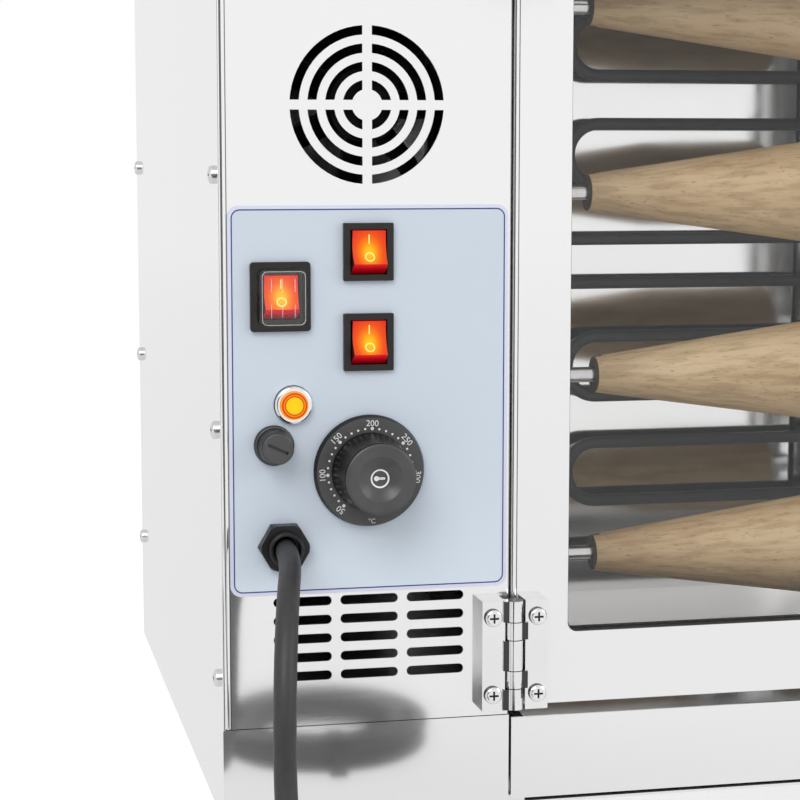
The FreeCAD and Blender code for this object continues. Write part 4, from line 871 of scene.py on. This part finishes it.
# Edges and seals
def make_hem(name, x0, x1, node, body, seam_side):
    """The rounded hem of a folded sheet at an upright edge, with a strip of painted shade for the seam beside it.
    """
    low, high = low_of(node), high_of(node)
    face = low.y
    middle, half = (x0 + x1) / 2, (x1 - x0) / 2
    bottom, top = low.z + hem_end_gap, high.z - hem_end_gap
    outline = [(x1, face + hem_root), (x0, face + hem_root)]
    for i in range(hem_steps + 1):
        across = x0 + (x1 - x0) * i / hem_steps
        outline.append((across, face - hem_height * (1 - ((across - middle) / half) ** 2)))
    bm = bmesh.new()
    rings = [[bm.verts.new((across, y, up)) for across, y in outline] for up in (bottom, top)]
    join(bm, *rings)
    for ring in rings:
        bm.faces.new(ring)
    # The seam is a thin strip of painted shade in the gap beside the hem.
    seam = x1 if seam_side > 0 else x0 - hem_seam
    strip(bm, (seam, seam + hem_seam, bottom, top), 0.1, (0.18, 0.3), 0.01, face - 0.02, face + 0.04, slot=1)
    piece = finish_mesh(name, bm, ["cabinet_steel", "recess_painted_shade"], body)


def make_hems():
    """Hems at the cabinet's front corners and at the doors' hinge stiles."""
    low, high = low_of("control_front"), high_of("right_front")
    left, right = low.x - corner_overhang, high.x + corner_overhang
    make_hem("left_corner_hem", left, left + hem_width, "control_front", "oven", 1)
    make_hem("right_corner_hem", right - hem_width, right, "right_front", "oven", -1)
    left, right = low_of("left_door_frame").x, high_of("right_door_frame").x
    make_hem("left_door_hem", left + door_hem_inset, left + hem_width, "left_door_frame", "left_door", 1)
    make_hem("right_door_hem", right - hem_width, right - door_hem_inset, "right_door_frame",
             "right_door", -1)


def make_lamp_ring_shadow():
    """A thin black ring under the lamp's chrome ring, standing out past it as a painted shadow line."""
    middle = centre_of("lamp_ring")
    radius = high_of("lamp_ring").x - middle.x
    inner, outer = radius - ring_shadow_depth, radius + ring_shadow_overhang
    profile = [(inner, -0.02), (inner, ring_shadow_height), (outer - 0.1, ring_shadow_height),
               (outer, ring_shadow_height / 2), (outer, -0.02), (inner, -0.02)]
    bm = bmesh.new()
    lathe(bm, profile, Vector((middle.x, low_of("control_label").y, middle.z)), FORWARD)
    piece = finish_mesh("lamp_ring_shadow", bm, ["rubber"], "oven")


# Rockers
def joint_place(name):
    """A hinge's place, in millimetres."""
    return next(Vector(j["pos_m"]) for j in frame["joints"] if j["name"] == name) / MM


def face_reach(up):
    """How far a rocker's face stands in front of its pivot at one height."""
    for (high, reach_high), (low, reach_low) in zip(rocker_face, rocker_face[1:]):
        if up >= low:
            return reach_low + (reach_high - reach_low) * (up - low) / (high - low)
    return rocker_face[-1][1]


def make_rocker(node):
    """A lit rocker with a hollow face, tipped to its upper end."""
    pivot = joint_place(node + "_tip")
    outline = list(rocker_face)
    for angle in rocker_drum_turns:
        turn = math.radians(angle)
        outline.append((rocker_drum_radius * math.sin(turn), rocker_drum_radius * math.cos(turn)))
    base_half, ridge_half = rocker_half_widths
    ridge_reach = rocker_face[0][1]
    bm = bmesh.new()
    rings = [[], []]
    for up, reach in outline:
        half = base_half - (base_half - ridge_half) * max(0.0, reach) / ridge_reach
        for ring, side in zip(rings, (-1, 1)):
            ring.append(bm.verts.new((pivot.x + side * half, pivot.y - reach, pivot.z + up)))
    for ring in rings:
        bm.faces.new(ring).material_index = 2
    for i, wall in enumerate(join(bm, *rings)):
        wall.material_index = 0 if i < len(rocker_face) - 1 else 1
    tilt = Matrix.Rotation(-math.radians(rocker_tilt), 3, "X")
    bmesh.ops.rotate(bm, cent=pivot, matrix=tilt, verts=bm.verts)
    surfaces[node + "_glow"] = make_glow(
        node + "_glow", mm(*(pivot + Vector(rocker_glow_heart))), rocker_glow_reach,
        tones((0.0, (255, 208, 20)), (0.2, (255, 190, 16)), (0.42, (252, 132, 8)),
              (0.66, (242, 82, 14)), (1.0, (226, 48, 24))),
        0.95, (0.06, 0.005, 0.0), 0.3, (1.15, 0.5, 0.85))
    surfaces[node + "_facet"] = make_glow(
        node + "_facet", mm(*(pivot + Vector(rocker_facet_heart))), rocker_facet_reach,
        tones((0.0, (224, 16, 26)), (0.4, (190, 6, 20)), (1.0, (110, 2, 12))),
        0.9, (0.05, 0.0, 0.0), 0.3, (0.3, 1.0, 1.0))
    piece = finish_mesh(node + "_body", bm, [node + "_glow", node + "_facet", "rocker_side"], node)
    round_edges(piece, rocker_edge_round)
    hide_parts(node)
    make_rocker_signs(node, pivot, tilt)


def make_rocker_signs(node, pivot, tilt):
    """The lit bar and ring on a rocker's hollow face."""
    bm = bmesh.new()
    outer, inner = [circle(0.0, ring_sign_up, radius, ring_sign_steps) for radius in ring_sign_radii]
    band(bm, outer, inner, -print_height, 0.0)
    low, high = bar_sign_up - bar_sign_half, bar_sign_up + bar_sign_half
    bar = (-bar_sign_half_width, bar_sign_half_width, low, high)
    strip(bm, bar, 0.1, (0.25, 0.2), 0.01, -print_height, 0.0)
    for vert in bm.verts:
        up = vert.co.z
        vert.co = Vector((pivot.x + vert.co.x, pivot.y + vert.co.y - face_reach(up), pivot.z + up))
    bmesh.ops.rotate(bm, cent=pivot, matrix=tilt, verts=bm.verts)
    piece = finish_mesh(node + "_signs", bm, ["sign_glow"], node)


def make_cover_glint_ribs():
    """Thin ribs on the clear cover's face and a raised edge round it, shinier than the cover, as painted glints.
    """
    low, high = low_of("power_switch_cover"), high_of("power_switch_cover")
    middle = (low + high) / 2
    bm = bmesh.new()
    for column in glint_rib_columns:
        for row in glint_rib_rows:
            x, z = middle.x + column, middle.z + row
            glint_rib = (x - glint_rib_half_width, x + glint_rib_half_width, z - glint_rib_half_length, z + glint_rib_half_length)
            strip(bm, glint_rib, glint_rib_corner, (0.13, 0.2), 0.02, low.y - glint_rib_height, low.y + cover_root, 3)
    outer, inner = [corner_outline(low.x + inset, high.x - inset, low.z + inset, high.z - inset, corner)
                    for inset, corner in zip(glint_edge_insets, glint_edge_corners)]
    band(bm, outer, inner, low.y - glint_edge_height, low.y + cover_root)
    piece = finish_mesh("cover_glint_ribs", bm, ["cover_glint_edge"], "oven")


def lay(bm, first, x, z, face_at):
    """Moves flat print to its place, on a face whose depth depends on the distance from its middle."""
    bm.verts.ensure_lookup_table()
    for vert in bm.verts[first:]:
        vert.co.y += face_at(math.hypot(vert.co.x, vert.co.z))
        vert.co.x += x
        vert.co.z += z


def make_dial_print():
    """Numbers, dots and the ring mark on the thermostat knob."""
    low, high = low_of("thermostat_knob"), high_of("thermostat_knob")
    x, z = (low.x + high.x) / 2, (low.z + high.z) / 2
    sphere = (dish_radius ** 2 + dish_depth ** 2) / (2 * dish_depth)
    skirt_face = high.y - dial_skirt_height
    dish_floor = low.y + dish_depth
    bm = bmesh.new()
    for i in range(dial_marks):
        angle = math.radians(dial_first_angle - dial_step * i / dial_marks_per_number)
        numbered = i % dial_marks_per_number == 0
        radius = dial_major_dot if numbered else dial_minor_dot
        spot(bm, dial_dot_radius * math.cos(angle), dial_dot_radius * math.sin(angle), radius)
        if numbered:
            outwards = Vector((math.cos(angle), 0, math.sin(angle)))
            across = Vector((math.sin(angle), 0, -math.cos(angle)))
            value = str(dial_first_number + dial_number_rise * i)
            letters(bm, value, dial_digit_height, outwards * dial_number_radius, across, outwards)
    unit_x, unit_z = dial_unit_place
    letters(bm, "\u00b0C", dial_unit_height, Vector((unit_x, 0, unit_z)), RIGHT, UP)
    lay(bm, 0, x, z, lambda away: skirt_face)
    first = len(bm.verts)
    outer, inner = [circle(0.0, 0.0, radius, 48)
                    for radius in (mark_ring_radius, mark_ring_radius - mark_ring_width)]
    band(bm, outer, inner, -print_height, 0.0)
    spot(bm, *mark_bulb, 24)
    strip(bm, mark_stem, mark_stem_corner, (0.4, 0.45), 0.04, -print_height, 0.0, 4)
    lay(bm, first, x, z, lambda away: dish_floor - (sphere - math.sqrt(sphere ** 2 - away ** 2)))
    piece = finish_mesh("dial_print", bm, ["print_white"], "thermostat_knob")


make_label_print()
make_hems()
make_lamp_ring_shadow()
for rocker in ("power_rocker", "left_drive_rocker", "right_drive_rocker"):
    make_rocker(rocker)
make_cover_glint_ribs()
make_dial_print()


# Finishes of the imported pieces, and painted shade and glow on some of their faces
def dress_nodes():
    """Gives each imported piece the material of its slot."""
    for row in frame["record"]["subparts"]:
        material = surfaces.get(row["material_slot"])
        if material:
            mesh = nodes[row["node"]].data
            mesh.materials.clear()
            mesh.materials.append(material)


def tint_faces(node, material, chosen):
    """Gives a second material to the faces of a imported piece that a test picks."""
    mesh = nodes[node].data
    mesh.materials.append(surfaces[material])
    slot = len(mesh.materials) - 1
    for polygon in mesh.polygons:
        if chosen(polygon):
            polygon.material_index = slot


def tint_roller_end(node, outwards):
    """Darkens a roller's small end and the slot across it."""
    middle = centre_of(node)
    end = (low_of(node) if outwards < 0 else high_of(node)).x

    def in_end(face):
        """Whether a face looks out of the small end, or lies inside it."""
        place = face.center / MM
        away = math.hypot(place.y - middle.y, place.z - middle.z)
        inside = abs(place.x - end) < roller_slot_depth and away < roller_end_radius
        return inside or face.normal.x * outwards > end_slant

    tint_faces(node, "roller_end_darker", in_end)


def tint_hinges(node):
    """Shades a hinge's side faces, and paints shade into the cross recesses of its screws."""
    front = low_of(node).y
    near, far = screw_recess_depths
    tint_faces(node, "hinge_shade", lambda face: abs(face.normal.y) < hinge_side_slant)
    tint_faces(node, "recess_painted_shade",
               lambda face: abs(face.normal.y) < hinge_side_slant and face.area < cross_recess_area)
    tint_faces(node, "recess_painted_shade",
               lambda face: face.normal.y < -recess_floor_slant and near < face.center.y / MM - front < far)


def tint_details():
    """The second materials of rollers, chute, knobs and hinges: darker roller ends, painted glow on the chute, and
    painted shade on the knobs' sides, the hinges' sides and the screws' recesses.
    """
    for row in range(1, 5):
        tint_roller_end("left_roller_%d" % row, -1)
        tint_roller_end("right_roller_%d" % row, 1)
    tint_faces("chamber_liner", "chute_steel_painted_glow",
               lambda face: face.normal.z > chute_slant and face.center.z < chute_top)
    for node in ("thermostat_knob", "reset_cap"):
        tint_faces(node, "bakelite_side_painted_shade", lambda face: abs(face.normal.y) < knob_side_slant)
    for node in ("cabinet_hinges", "left_door_hinges", "right_door_hinges"):
        tint_hinges(node)


dress_nodes()
tint_details()

bpy.context.scene.view_settings.view_transform = "Standard"
